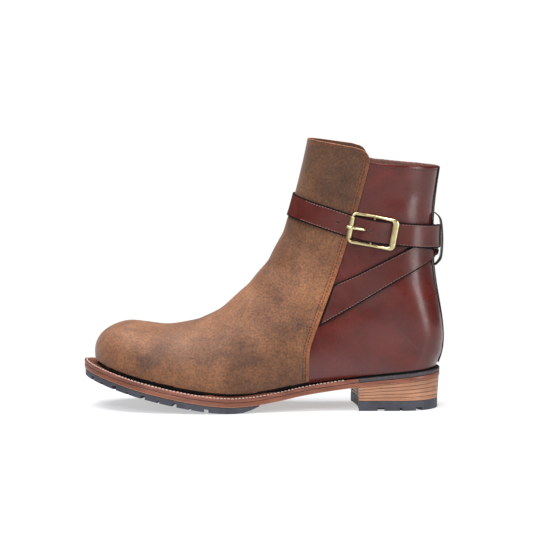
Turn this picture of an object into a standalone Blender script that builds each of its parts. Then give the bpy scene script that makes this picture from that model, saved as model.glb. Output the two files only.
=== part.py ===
"""A man's jodhpur boot for the left foot, built piece by piece as a bootmaker would build it.

The frame has +Z up and the ground at z = 0. The toe points to -X, the lateral side with the
buckle faces -Y, and the origin is the centre of the heel's flat ground face. Lengths along the
boot are first counted from the tip of the sole ("along"), then moved into this frame.
"""

import math
from collections import namedtuple
from functools import lru_cache

import bmesh
import bpy
import numpy as np
from mathutils import Vector

MM = 0.001
GAP = 0.3 * MM

# Overall sizes
SOLE_LENGTH = 304 * MM
BALL_WIDTH = 110 * MM
SHAFT_HEIGHT = 229 * MM
HEEL_LENGTH = 70 * MM

# Sole sizes
SPRING_RISE = 27.7 * MM
HEEL_RISE = 21.9 * MM
TREAD_AT = 0.421
SPRING_POWER = 1.55
RUBBER_THICK = 5.3 * MM
OUTSOLE_THICK = 3.9 * MM
WELT_THICK = 2.9 * MM
WELT_REACH = 9.4 * MM
INSOLE_THICK = 4.5 * MM
INSOLE_EASE = 1.0 * MM
RUBBER_LENGTH = 150 * MM
RUBBER_TAPER = 20 * MM
RUBBER_SETBACK = 0.7 * MM
LUG_DEPTH = 3.0 * MM
GROOVE_WIDE = 3.6 * MM
GROOVE_NARROW = 1.8 * MM
GROOVE_REACH = 17 * MM
GROOVE_PITCH = 27 * MM
GROOVE_NARROW_REACH = 6 * MM
GROOVE_NARROW_DEPTH = 1.8 * MM
RUBBER_FEATHER = 0.12
CUT_BELOW = 4 * MM
TOP_LIFT_THICK = 8.2 * MM
LIFT_COUNT = 5
HEEL_SETBACK = 0.6 * MM
HEEL_TAPER = 1.2 * MM
BREAST_SKEW = 5 * MM
BREAST_HOLLOW = 2.2 * MM
NOTCH_WIDE = 6.0 * MM
NOTCH_NARROW = 2.0 * MM
NOTCH_HIGH = 2.6 * MM
NOTCH_DEEP = 9 * MM
NOTCH_SHALLOW = 3 * MM
# The notches in the top lift's edge: share of HEEL_LENGTH from the breast, width, depth inwards
NOTCHES = (
    (0.27, NOTCH_WIDE, NOTCH_DEEP),
    (0.51, NOTCH_NARROW, NOTCH_SHALLOW),
    (0.74, NOTCH_WIDE, NOTCH_DEEP),
)

# Leather sizes
WALL = 2.4 * MM
VAMP_THICK = 1.4 * MM
VAMP_GAP = 0.7 * MM
BACKSTAY_THICK = 0.9 * MM
BACKSTAY_HALF = 7.0 * MM
STRAP_THICK = 1.6 * MM
STRAP_EASE = 0.6 * MM
STRAP_GAP = 0.5 * MM
STRAP_WIDTH = 19.5 * MM
TIP_LENGTH = 0.35
LOOP_THICK = 1.4 * MM
LOOP_WIDTH = 13 * MM
LOOP_ARCH = 0.3
LOOP_LOW = 0.528 * SHAFT_HEIGHT
LOOP_HIGH = 0.725 * SHAFT_HEIGHT
VAMP_BUILD = VAMP_GAP + VAMP_THICK
BACKSTAY_BUILD = GAP + BACKSTAY_THICK
STRAP_BUILD = STRAP_GAP + STRAP_THICK

# Buckle sizes
BUCKLE_LENGTH = 42 * MM
BUCKLE_WIDTH = 27 * MM
BUCKLE_THICK = 2.4 * MM
BUCKLE_RAIL = 2.6 * MM
BUCKLE_WIDE_BAR = 5.2 * MM
BUCKLE_CORNER = 4.5 * MM
BAR_RADIUS = 1.1 * MM
FOLD_THICK = 1.0 * MM
BAR_RISE = GAP + FOLD_THICK + 2 * GAP + BAR_RADIUS
FOLD_RETURN = 8 * MM
FOLD_WIDTH = 0.93
ROLLER_RADIUS = 2.3 * MM
PRONG_WIDTH = 2.6 * MM
PRONG_THICK = 2.2 * MM
PRONG_EYE = 0.8 * MM
PRONG_THROUGH = (8, 15)
# Outline of the frame's section: share from its outer to its inner edge, share of half its height
BAR_SECTION = (
    (0, -0.5),
    (0, 0.4),
    (0.25, 1),
    (0.75, 1),
    (1, 0.4),
    (1, -0.5),
    (0.8, -1),
    (0.2, -1),
)

HEEL_CENTRE = SOLE_LENGTH - HEEL_LENGTH / 2

# Plan of the sole: share of SOLE_LENGTH, then the middle line's offset to the medial side and
# the half width, both as shares of BALL_WIDTH. The ends are rounded off by end_round.
PlanRow = namedtuple("PlanRow", "along middle half")
PLAN = (
    PlanRow(0.00, 0.045, 0.440),
    PlanRow(0.10, 0.030, 0.465),
    PlanRow(0.20, 0.010, 0.490),
    PlanRow(0.31, -0.015, 0.500),
    PlanRow(0.40, -0.040, 0.465),
    PlanRow(0.50, -0.055, 0.385),
    PlanRow(0.60, -0.045, 0.322),
    PlanRow(0.70, -0.022, 0.312),
    PlanRow(0.80, -0.005, 0.325),
    PlanRow(0.90, 0.000, 0.330),
    PlanRow(1.00, 0.000, 0.330),
)
TOE_ROUND = 0.185
TOE_ROUND_POWER = 2.05
HEEL_ROUND = 0.115
HEEL_ROUND_POWER = 2.15

# Height of the outsole's underside behind the tread: share of SOLE_LENGTH, share of HEEL_RISE
ArchRow = namedtuple("ArchRow", "along rise")
ARCH = (
    ArchRow(TREAD_AT, 0.000),
    ArchRow(0.480, 0.045),
    ArchRow(0.539, 0.165),
    ArchRow(0.615, 0.372),
    ArchRow(0.691, 0.535),
    ArchRow(0.763, 0.665),
    ArchRow(0.882, 0.834),
    ArchRow(1.000, 1.000),
)

# How far the welt reaches past the boot: share of SOLE_LENGTH, share of WELT_REACH
ReachRow = namedtuple("ReachRow", "along reach")
REACH = (
    ReachRow(0.00, 1.00),
    ReachRow(0.10, 0.80),
    ReachRow(0.20, 0.70),
    ReachRow(0.40, 0.66),
    ReachRow(0.60, 0.50),
    ReachRow(0.76, 0.33),
    ReachRow(0.90, 0.20),
    ReachRow(1.00, 0.12),
)

# Sections through the last, from the toe to above the collar. Each lies in a plane across the
# boot that runs from the ridge (the front or top outline) to its end, which is on the feather
# line of the sole and then climbs the back of the heel.
#   ridge_t   ridge, share of SOLE_LENGTH        ridge_z  ridge, share of SHAFT_HEIGHT
#   along     end, share of the feather line     rise     end above the heel, share of SHAFT_HEIGHT
#   back      end behind the feather line, share of SOLE_LENGTH
#   half      greatest half width, share of BALL_WIDTH
#   lean      ridge to the medial side, share of BALL_WIDTH
#   widest    where the greatest width lies, from end (0) to ridge (1)
#   full      roundness of the part above it: 2 is an ellipse, more is fuller
#   heel      roundness of the part below it
Section = namedtuple("Section", "ridge_t ridge_z along rise back half lean widest full heel")
SECTIONS = (
    Section(0.0315, 0.180, 0.154, 0.000, 0.000, 0.405, 0.040, 0.06, 2.05, 2.10),
    Section(0.0300, 0.214, 0.157, 0.000, 0.000, 0.410, 0.040, 0.10, 2.05, 2.10),
    Section(0.0355, 0.246, 0.161, 0.000, 0.000, 0.413, 0.040, 0.14, 2.05, 2.10),
    Section(0.0530, 0.278, 0.167, 0.000, 0.000, 0.416, 0.042, 0.17, 2.05, 2.10),
    Section(0.0850, 0.304, 0.175, 0.000, 0.000, 0.420, 0.044, 0.19, 2.10, 2.10),
    Section(0.1240, 0.3175, 0.189, 0.000, 0.000, 0.426, 0.046, 0.21, 2.10, 2.10),
    Section(0.1710, 0.3130, 0.210, 0.000, 0.000, 0.434, 0.046, 0.23, 2.10, 2.10),
    Section(0.2270, 0.3050, 0.242, 0.000, 0.000, 0.443, 0.044, 0.25, 2.05, 2.10),
    Section(0.2830, 0.3130, 0.284, 0.000, 0.000, 0.450, 0.040, 0.26, 2.00, 2.10),
    Section(0.3370, 0.3330, 0.338, 0.000, 0.000, 0.446, 0.034, 0.27, 2.00, 2.10),
    Section(0.3850, 0.3660, 0.408, 0.000, 0.000, 0.425, 0.028, 0.27, 2.00, 2.10),
    Section(0.4240, 0.4100, 0.487, 0.000, 0.000, 0.396, 0.022, 0.28, 2.00, 2.10),
    Section(0.4640, 0.4620, 0.580, 0.000, 0.000, 0.367, 0.016, 0.30, 2.00, 2.10),
    Section(0.4970, 0.5110, 0.670, 0.000, 0.000, 0.346, 0.010, 0.32, 2.00, 2.10),
    Section(0.5210, 0.5570, 0.760, 0.000, 0.000, 0.332, 0.006, 0.34, 2.00, 2.10),
    Section(0.5410, 0.6030, 0.844, 0.000, 0.000, 0.325, 0.003, 0.36, 2.00, 2.20),
    Section(0.5540, 0.6400, 0.913, 0.000, 0.000, 0.321, 0.000, 0.38, 2.00, 2.50),
    Section(0.5640, 0.6700, 0.963, 0.000, 0.000, 0.319, 0.000, 0.40, 2.00, 2.80),
    Section(0.5715, 0.6980, 0.990, 0.000, 0.000, 0.318, 0.000, 0.42, 2.00, 3.10),
    Section(0.5775, 0.7230, 1.000, 0.000, 0.000, 0.318, 0.000, 0.44, 2.00, 3.20),
    Section(0.5835, 0.7480, 1.000, 0.058, 0.0165, 0.318, 0.000, 0.45, 2.00, 3.10),
    Section(0.5885, 0.7740, 1.000, 0.119, 0.0205, 0.316, 0.000, 0.46, 2.00, 2.90),
    Section(0.5935, 0.8000, 1.000, 0.188, 0.0150, 0.313, 0.000, 0.47, 2.00, 2.70),
    Section(0.5985, 0.8260, 1.000, 0.262, 0.0050, 0.310, 0.000, 0.48, 2.00, 2.50),
    Section(0.6035, 0.8530, 1.000, 0.336, -0.0055, 0.309, 0.000, 0.48, 2.00, 2.40),
    Section(0.6085, 0.8830, 1.000, 0.423, -0.0115, 0.311, 0.000, 0.49, 2.00, 2.30),
    Section(0.6140, 0.9140, 1.000, 0.511, -0.0125, 0.316, 0.000, 0.49, 2.00, 2.25),
    Section(0.6190, 0.9450, 1.000, 0.598, -0.0095, 0.322, 0.000, 0.50, 2.00, 2.20),
    Section(0.6240, 0.9780, 1.000, 0.677, -0.0020, 0.328, 0.000, 0.50, 2.00, 2.20),
    Section(0.6285, 1.0100, 1.000, 0.747, 0.0060, 0.334, 0.000, 0.50, 2.00, 2.20),
    Section(0.6330, 1.0420, 1.000, 0.817, 0.0140, 0.340, 0.000, 0.50, 2.00, 2.20),
)
HEEL_ROW = 19
ANKLE_ROW = 21
LAST_ROW = len(SECTIONS) - 1
COUNTER_ROW = 14
COUNTER_ROWS = 3
COUNTER_HEIGHT = 44 * MM
AROUND = 22
BUNCHING = 0.45
HEEL_STEPS = (1.3, 0.7)
LEG_STEPS = 7

# Rear edge of the vamp and its tall front flap, seen from the side, from the feather line up
EdgeRow = namedtuple("EdgeRow", "along height")
FLAP_EDGE = (
    EdgeRow(0.6290, 0.0955),
    EdgeRow(0.6290, 0.150),
    EdgeRow(0.6300, 0.204),
    EdgeRow(0.6360, 0.247),
    EdgeRow(0.6510, 0.302),
    EdgeRow(0.6770, 0.393),
    EdgeRow(0.7030, 0.486),
    EdgeRow(0.7320, 0.605),
    EdgeRow(0.7560, 0.707),
    EdgeRow(0.7740, 0.795),
    EdgeRow(0.7880, 0.868),
    EdgeRow(0.7960, 0.912),
    EdgeRow(0.7955, 0.940),
    EdgeRow(0.7830, 0.962),
    EdgeRow(0.7550, 0.975),
)
FLAP_TOP = 0.9985
FLAP_CORNER = 11
CORNER_ROWS = 5

# Top line of the hollow upper, seen from the side: it stays just under the flap in front
COLLAR = (
    EdgeRow(0.600, 0.988),
    EdgeRow(0.660, 0.982),
    EdgeRow(0.720, 0.968),
    EdgeRow(0.760, 0.945),
    EdgeRow(0.795, 0.922),
    EdgeRow(0.850, 0.911),
    EdgeRow(0.930, 0.902),
    EdgeRow(1.030, 0.894),
)

# A strap's route over the upper. On the sides a stop is seen from the side: share of
# SOLE_LENGTH and share of SHAFT_HEIGHT. At the front and back only its height counts. "turn" is
# the half turns made round the leg, "base" is what the strap lies on, "straps" the number of
# straps between them, and "width" is a share of STRAP_WIDTH.
Stop = namedtuple("Stop", "side turn along height base straps width")
LONG_STRAP = (
    Stop("lateral", 0, 0.600, 0.344, "quarter", 0, 1.50),
    Stop("lateral", 0, 0.690, 0.400, "quarter", 0, 1.34),
    Stop("lateral", 0, 0.735, 0.432, "quarter", 0, 1.24),
    Stop("lateral", 0, 0.790, 0.471, "quarter", 0, 1.12),
    Stop("lateral", 0, 0.860, 0.521, "quarter", 0, 1.03),
    Stop("lateral", 0, 0.930, 0.572, "quarter", 0, 1.00),
    Stop("lateral", 0, 0.972, 0.604, "backstay", 0, 1.00),
    Stop("back", 0, 1.000, 0.624, "backstay", 0, 1.00),
    Stop("medial", -2, 0.972, 0.640, "backstay", 0, 1.00),
    Stop("medial", -2, 0.930, 0.664, "quarter", 0, 1.00),
    Stop("medial", -2, 0.860, 0.694, "quarter", 0, 1.00),
    Stop("medial", -2, 0.820, 0.709, "quarter", 0, 1.00),
    Stop("medial", -2, 0.776, 0.722, "vamp", 0, 1.00),
    Stop("medial", -2, 0.740, 0.732, "vamp", 0, 1.00),
    Stop("medial", -2, 0.680, 0.745, "vamp", 0, 1.00),
    Stop("front", -2, 0.600, 0.753, "vamp", 0, 1.00),
    Stop("lateral", -2, 0.640, 0.731, "vamp", 0, 1.00),
    Stop("lateral", -2, 0.690, 0.710, "vamp", 0, 1.00),
    Stop("lateral", -2, 0.735, 0.690, "vamp", 0, 1.00),
    Stop("lateral", -2, 0.8075, 0.666, "quarter", 1, 1.00),
    Stop("lateral", -2, 0.872, 0.655, "quarter", 1, 1.03),
    Stop("lateral", -2, 0.905, 0.650, "quarter", 2, 1.05),
    Stop("lateral", -2, 0.930, 0.646, "quarter", 2, 1.05),
    Stop("lateral", -2, 0.972, 0.640, "backstay", 2, 1.05),
    Stop("lateral", -2, 0.981, 0.639, "backstay", 2, 1.05),
)
BUCKLE_STRAP = (
    Stop("medial", 0, 0.600, 0.344, "quarter", 0, 1.50),
    Stop("medial", 0, 0.690, 0.400, "quarter", 0, 1.34),
    Stop("medial", 0, 0.735, 0.432, "quarter", 0, 1.24),
    Stop("medial", 0, 0.790, 0.471, "quarter", 0, 1.12),
    Stop("medial", 0, 0.860, 0.521, "quarter", 0, 1.03),
    Stop("medial", 0, 0.930, 0.572, "quarter", 1, 1.00),
    Stop("medial", 0, 0.972, 0.600, "backstay", 1, 1.00),
    Stop("back", 2, 1.000, 0.616, "backstay", 1, 1.00),
    Stop("lateral", 2, 0.972, 0.631, "backstay", 1, 1.00),
    Stop("lateral", 2, 0.930, 0.646, "quarter", 1, 1.00),
    Stop("lateral", 2, 0.905, 0.650, "quarter", 1, 1.00),
    Stop("lateral", 2, 0.872, 0.655, "quarter", 0, 1.00),
    Stop("lateral", 2, 0.8075, 0.666, "quarter", 0, 1.00),
    Stop("lateral", 2, 0.780, 0.674, "quarter", 0, 1.00),
)
SEAM_CLEARANCE = 0.6 * MM
SEAM_BLEND = 40 * MM
ROUTE_EVENING = 36
TURN_WEIGHT = 30 * MM
LONG_STRAP_BAR = 19
BUCKLE_STRAP_BAR = 12


def smooth(x, xs, ys):
    """Cubic through the points (xs, ys), its slope at each taken from the neighbours."""
    slopes = np.gradient(ys, xs)
    i = int(np.clip(np.searchsorted(xs, x) - 1, 0, len(xs) - 2))
    step = xs[i + 1] - xs[i]
    u = float(np.clip((x - xs[i]) / step, 0, 1))
    rise = u * u * (3 - 2 * u)
    start = u * (1 - u) ** 2
    finish = -u * u * (1 - u)
    return ys[i] + (ys[i + 1] - ys[i]) * rise + step * (slopes[i] * start + slopes[i + 1] * finish)


def columns(table):
    """A table's columns as arrays."""
    return [np.array(column, float) for column in zip(*table)]


def end_round(t):
    """Share of the full half width that the rounded toe and heel leave at t along the sole."""
    toe = max(0.0, 1 - t / (TOE_ROUND * SOLE_LENGTH))
    heel = max(0.0, 1 - (SOLE_LENGTH - t) / (HEEL_ROUND * SOLE_LENGTH))
    toe_share = max(0.0, 1 - toe**TOE_ROUND_POWER) ** (1 / TOE_ROUND_POWER)
    heel_share = max(0.0, 1 - heel**HEEL_ROUND_POWER) ** (1 / HEEL_ROUND_POWER)
    return toe_share * heel_share


@lru_cache(maxsize=None)
def sole_outline(side):
    """Dense plan outline of the sole on one side (-1 lateral, 1 medial), from toe to heel."""
    along, middle, half = columns(PLAN)
    points = []
    for step in range(401):
        t = SOLE_LENGTH * (1 - math.cos(math.pi * step / 400)) / 2
        share = t / SOLE_LENGTH
        y = smooth(share, along, middle) + side * smooth(share, along, half) * end_round(t)
        points.append((t, y * BALL_WIDTH))
    return np.array(points)


def inset_outline(side, inset):
    """The sole's outline moved inwards by inset(t)."""
    line = sole_outline(side)
    tangent = np.gradient(line, axis=0)
    tangent /= np.linalg.norm(tangent, axis=1)[:, None]
    inward = np.stack([tangent[:, 1], -tangent[:, 0]], axis=1) * side
    depth = np.array([inset(t) for t in line[:, 0]])
    return line + inward * depth[:, None]


def spread(line, count, start=0.5, finish=None):
    """count points at equal steps along a line, half a step in from its ends."""
    finish = count - 0.5 if finish is None else finish
    length = np.concatenate([[0], np.cumsum(np.linalg.norm(np.diff(line, axis=0), axis=1))])
    at = np.linspace(start, finish, count) / count * length[-1]
    return [tuple(np.interp(a, length, column) for column in line.T) for a in at]


def cut_line(line, first, last):
    """The part of a line whose distance along the boot lies between first and last."""
    inner = line[(line[:, 0] > first) & (line[:, 0] < last)]
    ends = [(t, np.interp(t, line[:, 0], line[:, 1])) for t in (first, last)]
    head = [ends[0]] if line[0, 0] < first else []
    tail = [ends[1]] if line[-1, 0] > last else []
    return np.array(head + [tuple(point) for point in inner] + tail)


def underside(t):
    """Height of the leather outsole's underside: toe spring, tread, arch and heel seat."""
    tread = TREAD_AT * SOLE_LENGTH
    if t < tread:
        return RUBBER_THICK + SPRING_RISE * ((tread - t) / tread) ** SPRING_POWER
    along, rise = columns(ARCH)
    return RUBBER_THICK + HEEL_RISE * smooth(t / SOLE_LENGTH, along, rise)


def welt_level(t):
    return underside(t) + OUTSOLE_THICK + GAP


def feather_level(t):
    """Height at which the upper stands on the welt."""
    return welt_level(t) + WELT_THICK + GAP


def welt_reach(t):
    along, reach = columns(REACH)
    return WELT_REACH * smooth(t / SOLE_LENGTH, along, reach)


def body_inset(t):
    return welt_reach(t) + VAMP_BUILD


@lru_cache(maxsize=None)
def feather_line(side):
    return inset_outline(side, body_inset)


def feather_span(t):
    """Middle and half width of the feather line of the upper at t."""
    lateral, medial = (np.interp(t, *feather_line(side).T) for side in (-1, 1))
    first, last = feather_ends()
    inside = first < t < last
    return (lateral + medial) / 2, (medial - lateral) / 2 if inside else 0.0


@lru_cache(maxsize=None)
def feather_ends():
    line = feather_line(1)
    return line[0, 0], line[-1, 0]


SECTION_COLUMNS = columns(SECTIONS)
Ring = namedtuple("Ring", "end ridge middle lean half v p share")


@lru_cache(maxsize=None)
def ring_at(s):
    """The section at row s of the table: where its plane runs and its half outline."""
    rows = np.arange(len(SECTIONS), dtype=float)
    row = Section(*(smooth(s, rows, column) for column in SECTION_COLUMNS))
    first, last = feather_ends()
    along = min(row.along, 1.0)
    rise = max(row.rise, 0.0)
    foot_t = first + (last - first) * along
    middle, foot_half = feather_span(foot_t)
    half = max(row.half * BALL_WIDTH, foot_half * 1.001)
    base = foot_half / half
    back = row.back if s > HEEL_ROW else 0.0
    end = np.array([foot_t + back * SOLE_LENGTH, feather_level(foot_t) + rise * SHAFT_HEIGHT])
    ridge = np.array([row.ridge_t * SOLE_LENGTH, row.ridge_z * SHAFT_HEIGHT])
    ridge += (end - ridge) / np.linalg.norm(end - ridge) * VAMP_BUILD

    steps = np.linspace(0, math.pi / 2, 60)
    low = 1 - np.cos(steps)
    root = 1 - (1 - 1 / row.heel) * (1 - base)
    low_half = base + (1 - base) * np.maximum(0, 1 - (1 - low) ** row.heel) ** root
    high = row.widest + (1 - row.widest) * np.sin(steps[1:]) ** (2 / row.full)
    high_half = np.maximum(0, np.cos(steps[1:])) ** (2 / row.full)
    v = np.concatenate([low * row.widest, high])
    p = np.concatenate([low_half, high_half])
    if s > COUNTER_ROW:
        t = end[0] + (ridge[0] - end[0]) * v
        height = rise * SHAFT_HEIGHT + (ridge[1] - end[1]) * v
        p = stand_counter(s, p * half, t, height) / half
    chord = np.linalg.norm(ridge - end)
    lengths = np.hypot(np.diff(v) * chord, np.diff(p) * half)
    share = np.concatenate([[0], np.cumsum(lengths)])
    return Ring(end, ridge, middle, row.lean * BALL_WIDTH, half, v, p, share / share[-1])


def stand_counter(s, half, t, height):
    """Half widths near the heel seat, where the counter rises from the sole's plan.

    The plan moves back and forth with the heel's back as it rises.
    """
    rises = SECTION_COLUMNS[3][HEEL_ROW:] * SHAFT_HEIGHT
    backs = SECTION_COLUMNS[4][HEEL_ROW:] * SOLE_LENGTH
    plan = np.array([feather_span(at)[1] for at in t - np.interp(height, rises, backs)])
    fade_in = ease((s - COUNTER_ROW) / COUNTER_ROWS)
    fade_out = 1 - ease(height / COUNTER_HEIGHT)
    return half + (plan - half) * fade_in * fade_out


def ease(x):
    """A soft step from 0 to 1."""
    x = np.clip(x, 0, 1)
    return x * x * (3 - 2 * x)


def once_round(q):
    """q brought into the range from 0, the lateral end, over the ridge at 1 to 2, the medial end."""
    return q if 0 <= q <= 2 else q % 2


def skin(s, q):
    """Point of the upper's outer surface, counted along the boot."""
    ring = ring_at(round(min(max(s, 0.0), LAST_ROW), 4))
    q = once_round(q)
    share, side = (q, -1) if q <= 1 else (2 - q, 1)
    v = np.interp(share, ring.share, ring.v)
    p = np.interp(share, ring.share, ring.p)
    t, z = ring.end + (ring.ridge - ring.end) * v
    y = ring.middle + (ring.lean - ring.middle) * v + side * ring.half * p
    return np.array([t, y, z])


def outward(s, q):
    """Unit normal of that surface. On the open rim it is taken just above, and made level."""
    q_step = 0.02
    s_step = 0.12
    upright = 1.0
    if s < HEEL_ROW:
        q = once_round(q)
        upright = min(1.0, min(q, 2 - q) / (4 * q_step), s * 2)
        q = min(max(q, 2 * q_step), 2 - 2 * q_step)
    low = max(s - s_step, 0)
    high = min(s + s_step, LAST_ROW)
    normal = np.cross(skin(high, q) - skin(low, q), skin(s, q + q_step) - skin(s, q - q_step))
    normal /= np.linalg.norm(normal)
    normal[2] *= upright
    return normal / np.linalg.norm(normal)


def on_skin(s, q, height=0.0):
    return skin(s, q) + outward(s, q) * height


def locate(t, z):
    """Row and share of the section that passes through a point seen from the side."""
    target = np.array([t, z])
    low, high = 0.0, float(LAST_ROW)
    for _ in range(34):
        s = (low + high) / 2
        ring = ring_at(round(s, 4))
        chord = ring.ridge - ring.end
        reach = target - ring.end
        behind = chord[0] * reach[1] - chord[1] * reach[0] < 0
        low, high = (s, high) if behind else (low, s)
    ring = ring_at(round(s, 4))
    chord = ring.ridge - ring.end
    v = float(np.clip(np.dot(target - ring.end, chord) / np.dot(chord, chord), 0, 1))
    return s, float(np.interp(v, ring.v, ring.share))


def row_at_height(q, height):
    """Row of the leg where the surface reaches a height at q."""
    low, high = float(HEEL_ROW) - 6, float(LAST_ROW)
    for _ in range(34):
        s = (low + high) / 2
        low, high = (s, high) if skin(s, q)[2] < height(skin(s, q)[0]) else (low, s)
    return s


def world(point):
    t, y, z = point
    return Vector((t - HEEL_CENTRE, y, z))


def material(name, color, roughness, metallic=0.0):
    made = bpy.data.materials.new(name)
    made.use_nodes = True
    shader = made.node_tree.nodes["Principled BSDF"]
    shader.inputs["Base Color"].default_value = (*color, 1)
    shader.inputs["Roughness"].default_value = roughness
    shader.inputs["Metallic"].default_value = metallic
    return made


def add_object(name, mesh_builder, surface, sharp_degrees=40):
    """A named object from a bmesh, with its faces turned outwards and its edges shaded."""
    bmesh.ops.recalc_face_normals(mesh_builder, faces=mesh_builder.faces)
    if mesh_builder.calc_volume(signed=True) < 0:
        bmesh.ops.reverse_faces(mesh_builder, faces=mesh_builder.faces)
    mesh = bpy.data.meshes.new(name)
    mesh_builder.to_mesh(mesh)
    mesh_builder.free()
    mesh.shade_smooth()
    mesh.set_sharp_from_angle(angle=math.radians(sharp_degrees))
    made = bpy.data.objects.new(name, mesh)
    made.data.materials.append(surface)
    bpy.context.scene.collection.objects.link(made)
    return made


def loft(name, rows, surface, sharp_degrees=40, closed=False):
    """A solid from rows of points, each row a closed loop. The ends are capped, or joined."""
    builder = bmesh.new()
    loops = [[builder.verts.new(world(point)) for point in row] for row in rows]
    pairs = list(zip(loops, loops[1:] + loops[:1] if closed else loops[1:]))
    for near, far in pairs:
        for i in range(len(near)):
            j = (i + 1) % len(near)
            builder.faces.new((near[i], near[j], far[j], far[i]))
    if not closed:
        builder.faces.new(loops[0])
        builder.faces.new(loops[-1])
    return add_object(name, builder, surface, sharp_degrees)


def shell(name, outer_rows, inner_rows, closed_from, surface):
    """A hollow wall from two grids. Rows from closed_from on are rings, the others are open.

    Each four-sided face is split along the diagonal that leads forward from the boot's back.
    """
    builder = bmesh.new()
    count = len(outer_rows[0])
    skins = []
    for rows in (outer_rows, inner_rows):
        grid = []
        for i, row in enumerate(rows):
            kept = row[:-1] if i >= closed_from else row
            line = [builder.verts.new(world(point)) for point in kept]
            grid.append(line + line[:1] if i >= closed_from else line)
        skins.append(grid)
    rim = {}
    for i in range(len(outer_rows) - 1):
        for j in range(count - 1):
            corners = ((i, j), (i, j + 1), (i + 1, j + 1), (i + 1, j))
            lateral = j < count // 2
            halves = ((0, 1, 2), (0, 2, 3)) if lateral else ((0, 1, 3), (1, 2, 3))
            for grid in skins:
                for corner in halves:
                    places = dict.fromkeys(grid[corners[k][0]][corners[k][1]] for k in corner)
                    if len(places) == 3:
                        builder.faces.new(list(places) if grid is skins[0] else list(places)[::-1])
            for (a, b), (c, d) in zip(corners, corners[1:] + corners[:1]):
                edge = frozenset((skins[0][a][b], skins[0][c][d]))
                if len(edge) == 2:
                    rim.setdefault(edge, []).append(((a, b), (c, d)))
    for found in rim.values():
        if len(found) == 1:
            (a, b), (c, d) = found[0]
            quad = (skins[0][c][d], skins[0][a][b], skins[1][a][b], skins[1][c][d])
            builder.faces.new(quad)
    return add_object(name, builder, surface)


def cut(target, name, boxes):
    """Cuts blocks out of an object. Each block is eight corners: four below, four above."""
    builder = bmesh.new()
    for corners in boxes:
        verts = [builder.verts.new(world(corner)) for corner in corners]
        count = len(verts) // 2
        low, high = verts[:count], verts[count:]
        builder.faces.new(low[::-1])
        builder.faces.new(high)
        for i in range(count):
            j = (i + 1) % count
            builder.faces.new((low[i], low[j], high[j], high[i]))
    bmesh.ops.recalc_face_normals(builder, faces=builder.faces)
    mesh = bpy.data.meshes.new(name)
    builder.to_mesh(mesh)
    builder.free()
    cutter = bpy.data.objects.new(name, mesh)
    bpy.context.scene.collection.objects.link(cutter)
    cutter.hide_render = True
    cutter.display_type = "WIRE"
    boolean = target.modifiers.new(name, "BOOLEAN")
    boolean.operation = "DIFFERENCE"
    boolean.object = cutter


def block(centre, along, across, up, half_along, half_across, low, high):
    """Eight corners of a block with its own axes, from low to high along up."""
    signs = ((-1, -1), (1, -1), (1, 1), (-1, 1))
    return [
        centre + along * half_along * a + across * half_across * b + up * level
        for level in (low, high)
        for a, b in signs
    ]


def collar(t):
    """Height of the upper's top line at t."""
    along, height = columns(COLLAR)
    return SHAFT_HEIGHT * smooth(t / SOLE_LENGTH, along, height)


def build_upper(surface):
    """The hollow boot itself: quarters and linings in one wall, open at collar and underneath."""
    turns = columns_round()
    foot = whole_rows()
    foot += rows_above(foot[-1], HEEL_ROW - 2)
    foot += [HEEL_ROW - short for short in HEEL_STEPS]
    foot += range(HEEL_ROW, ANKLE_ROW + 1)
    tops = [row_at_height(q, collar) for q in turns]
    places = [[(s, q) for q in turns] for s in foot]
    for step in range(1, LEG_STEPS + 1):
        share = step / LEG_STEPS
        places.append([(ANKLE_ROW + (top - ANKLE_ROW) * share, q) for top, q in zip(tops, turns)])
    outer = [[on_skin(s, q) for s, q in row] for row in places]
    inner = [[on_skin(s, q, -WALL) for s, q in row] for row in places]
    return shell("upper", outer, inner, foot.index(HEEL_ROW), surface)


def columns_round():
    """Places round a section, closer together at its ends and at the ridge, where it bends most."""
    even = [2 * j / AROUND for j in range(AROUND + 1)]
    return [q - BUNCHING * math.sin(2 * math.pi * q) / (2 * math.pi) for q in even]


def whole_rows():
    """Rows that the vamp covers from edge to edge, up to the one where its seam meets the welt."""
    seam_t = FLAP_EDGE[0].along * SOLE_LENGTH
    seam_row = locate(seam_t, feather_level(seam_t) + GAP)[0]
    return [*range(int(seam_row - 0.3) + 1), seam_row]


def edge_place(step):
    """Row and share of a point on the flap's edge, counted in steps of its table."""
    along, height = columns(FLAP_EDGE)
    index = np.arange(len(FLAP_EDGE), dtype=float)
    return locate(SOLE_LENGTH * smooth(step, index, along), SHAFT_HEIGHT * smooth(step, index, height))


def edge_step(s):
    """Step of the flap's edge at which it crosses a row."""
    low, high = 0.0, float(FLAP_CORNER)
    for _ in range(24):
        step = (low + high) / 2
        low, high = (step, high) if edge_place(step)[0] < s else (low, step)
    return step


def rows_above(seam_row, last):
    """Rows from the seam up, close together where the vamp's edge crosses them at a slant."""
    near = [seam_row + step for step in (0.05, 0.13, 0.26, 0.48, 0.78)]
    return near + list(range(int(near[-1] + 1.3), int(last) + 1))


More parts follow.
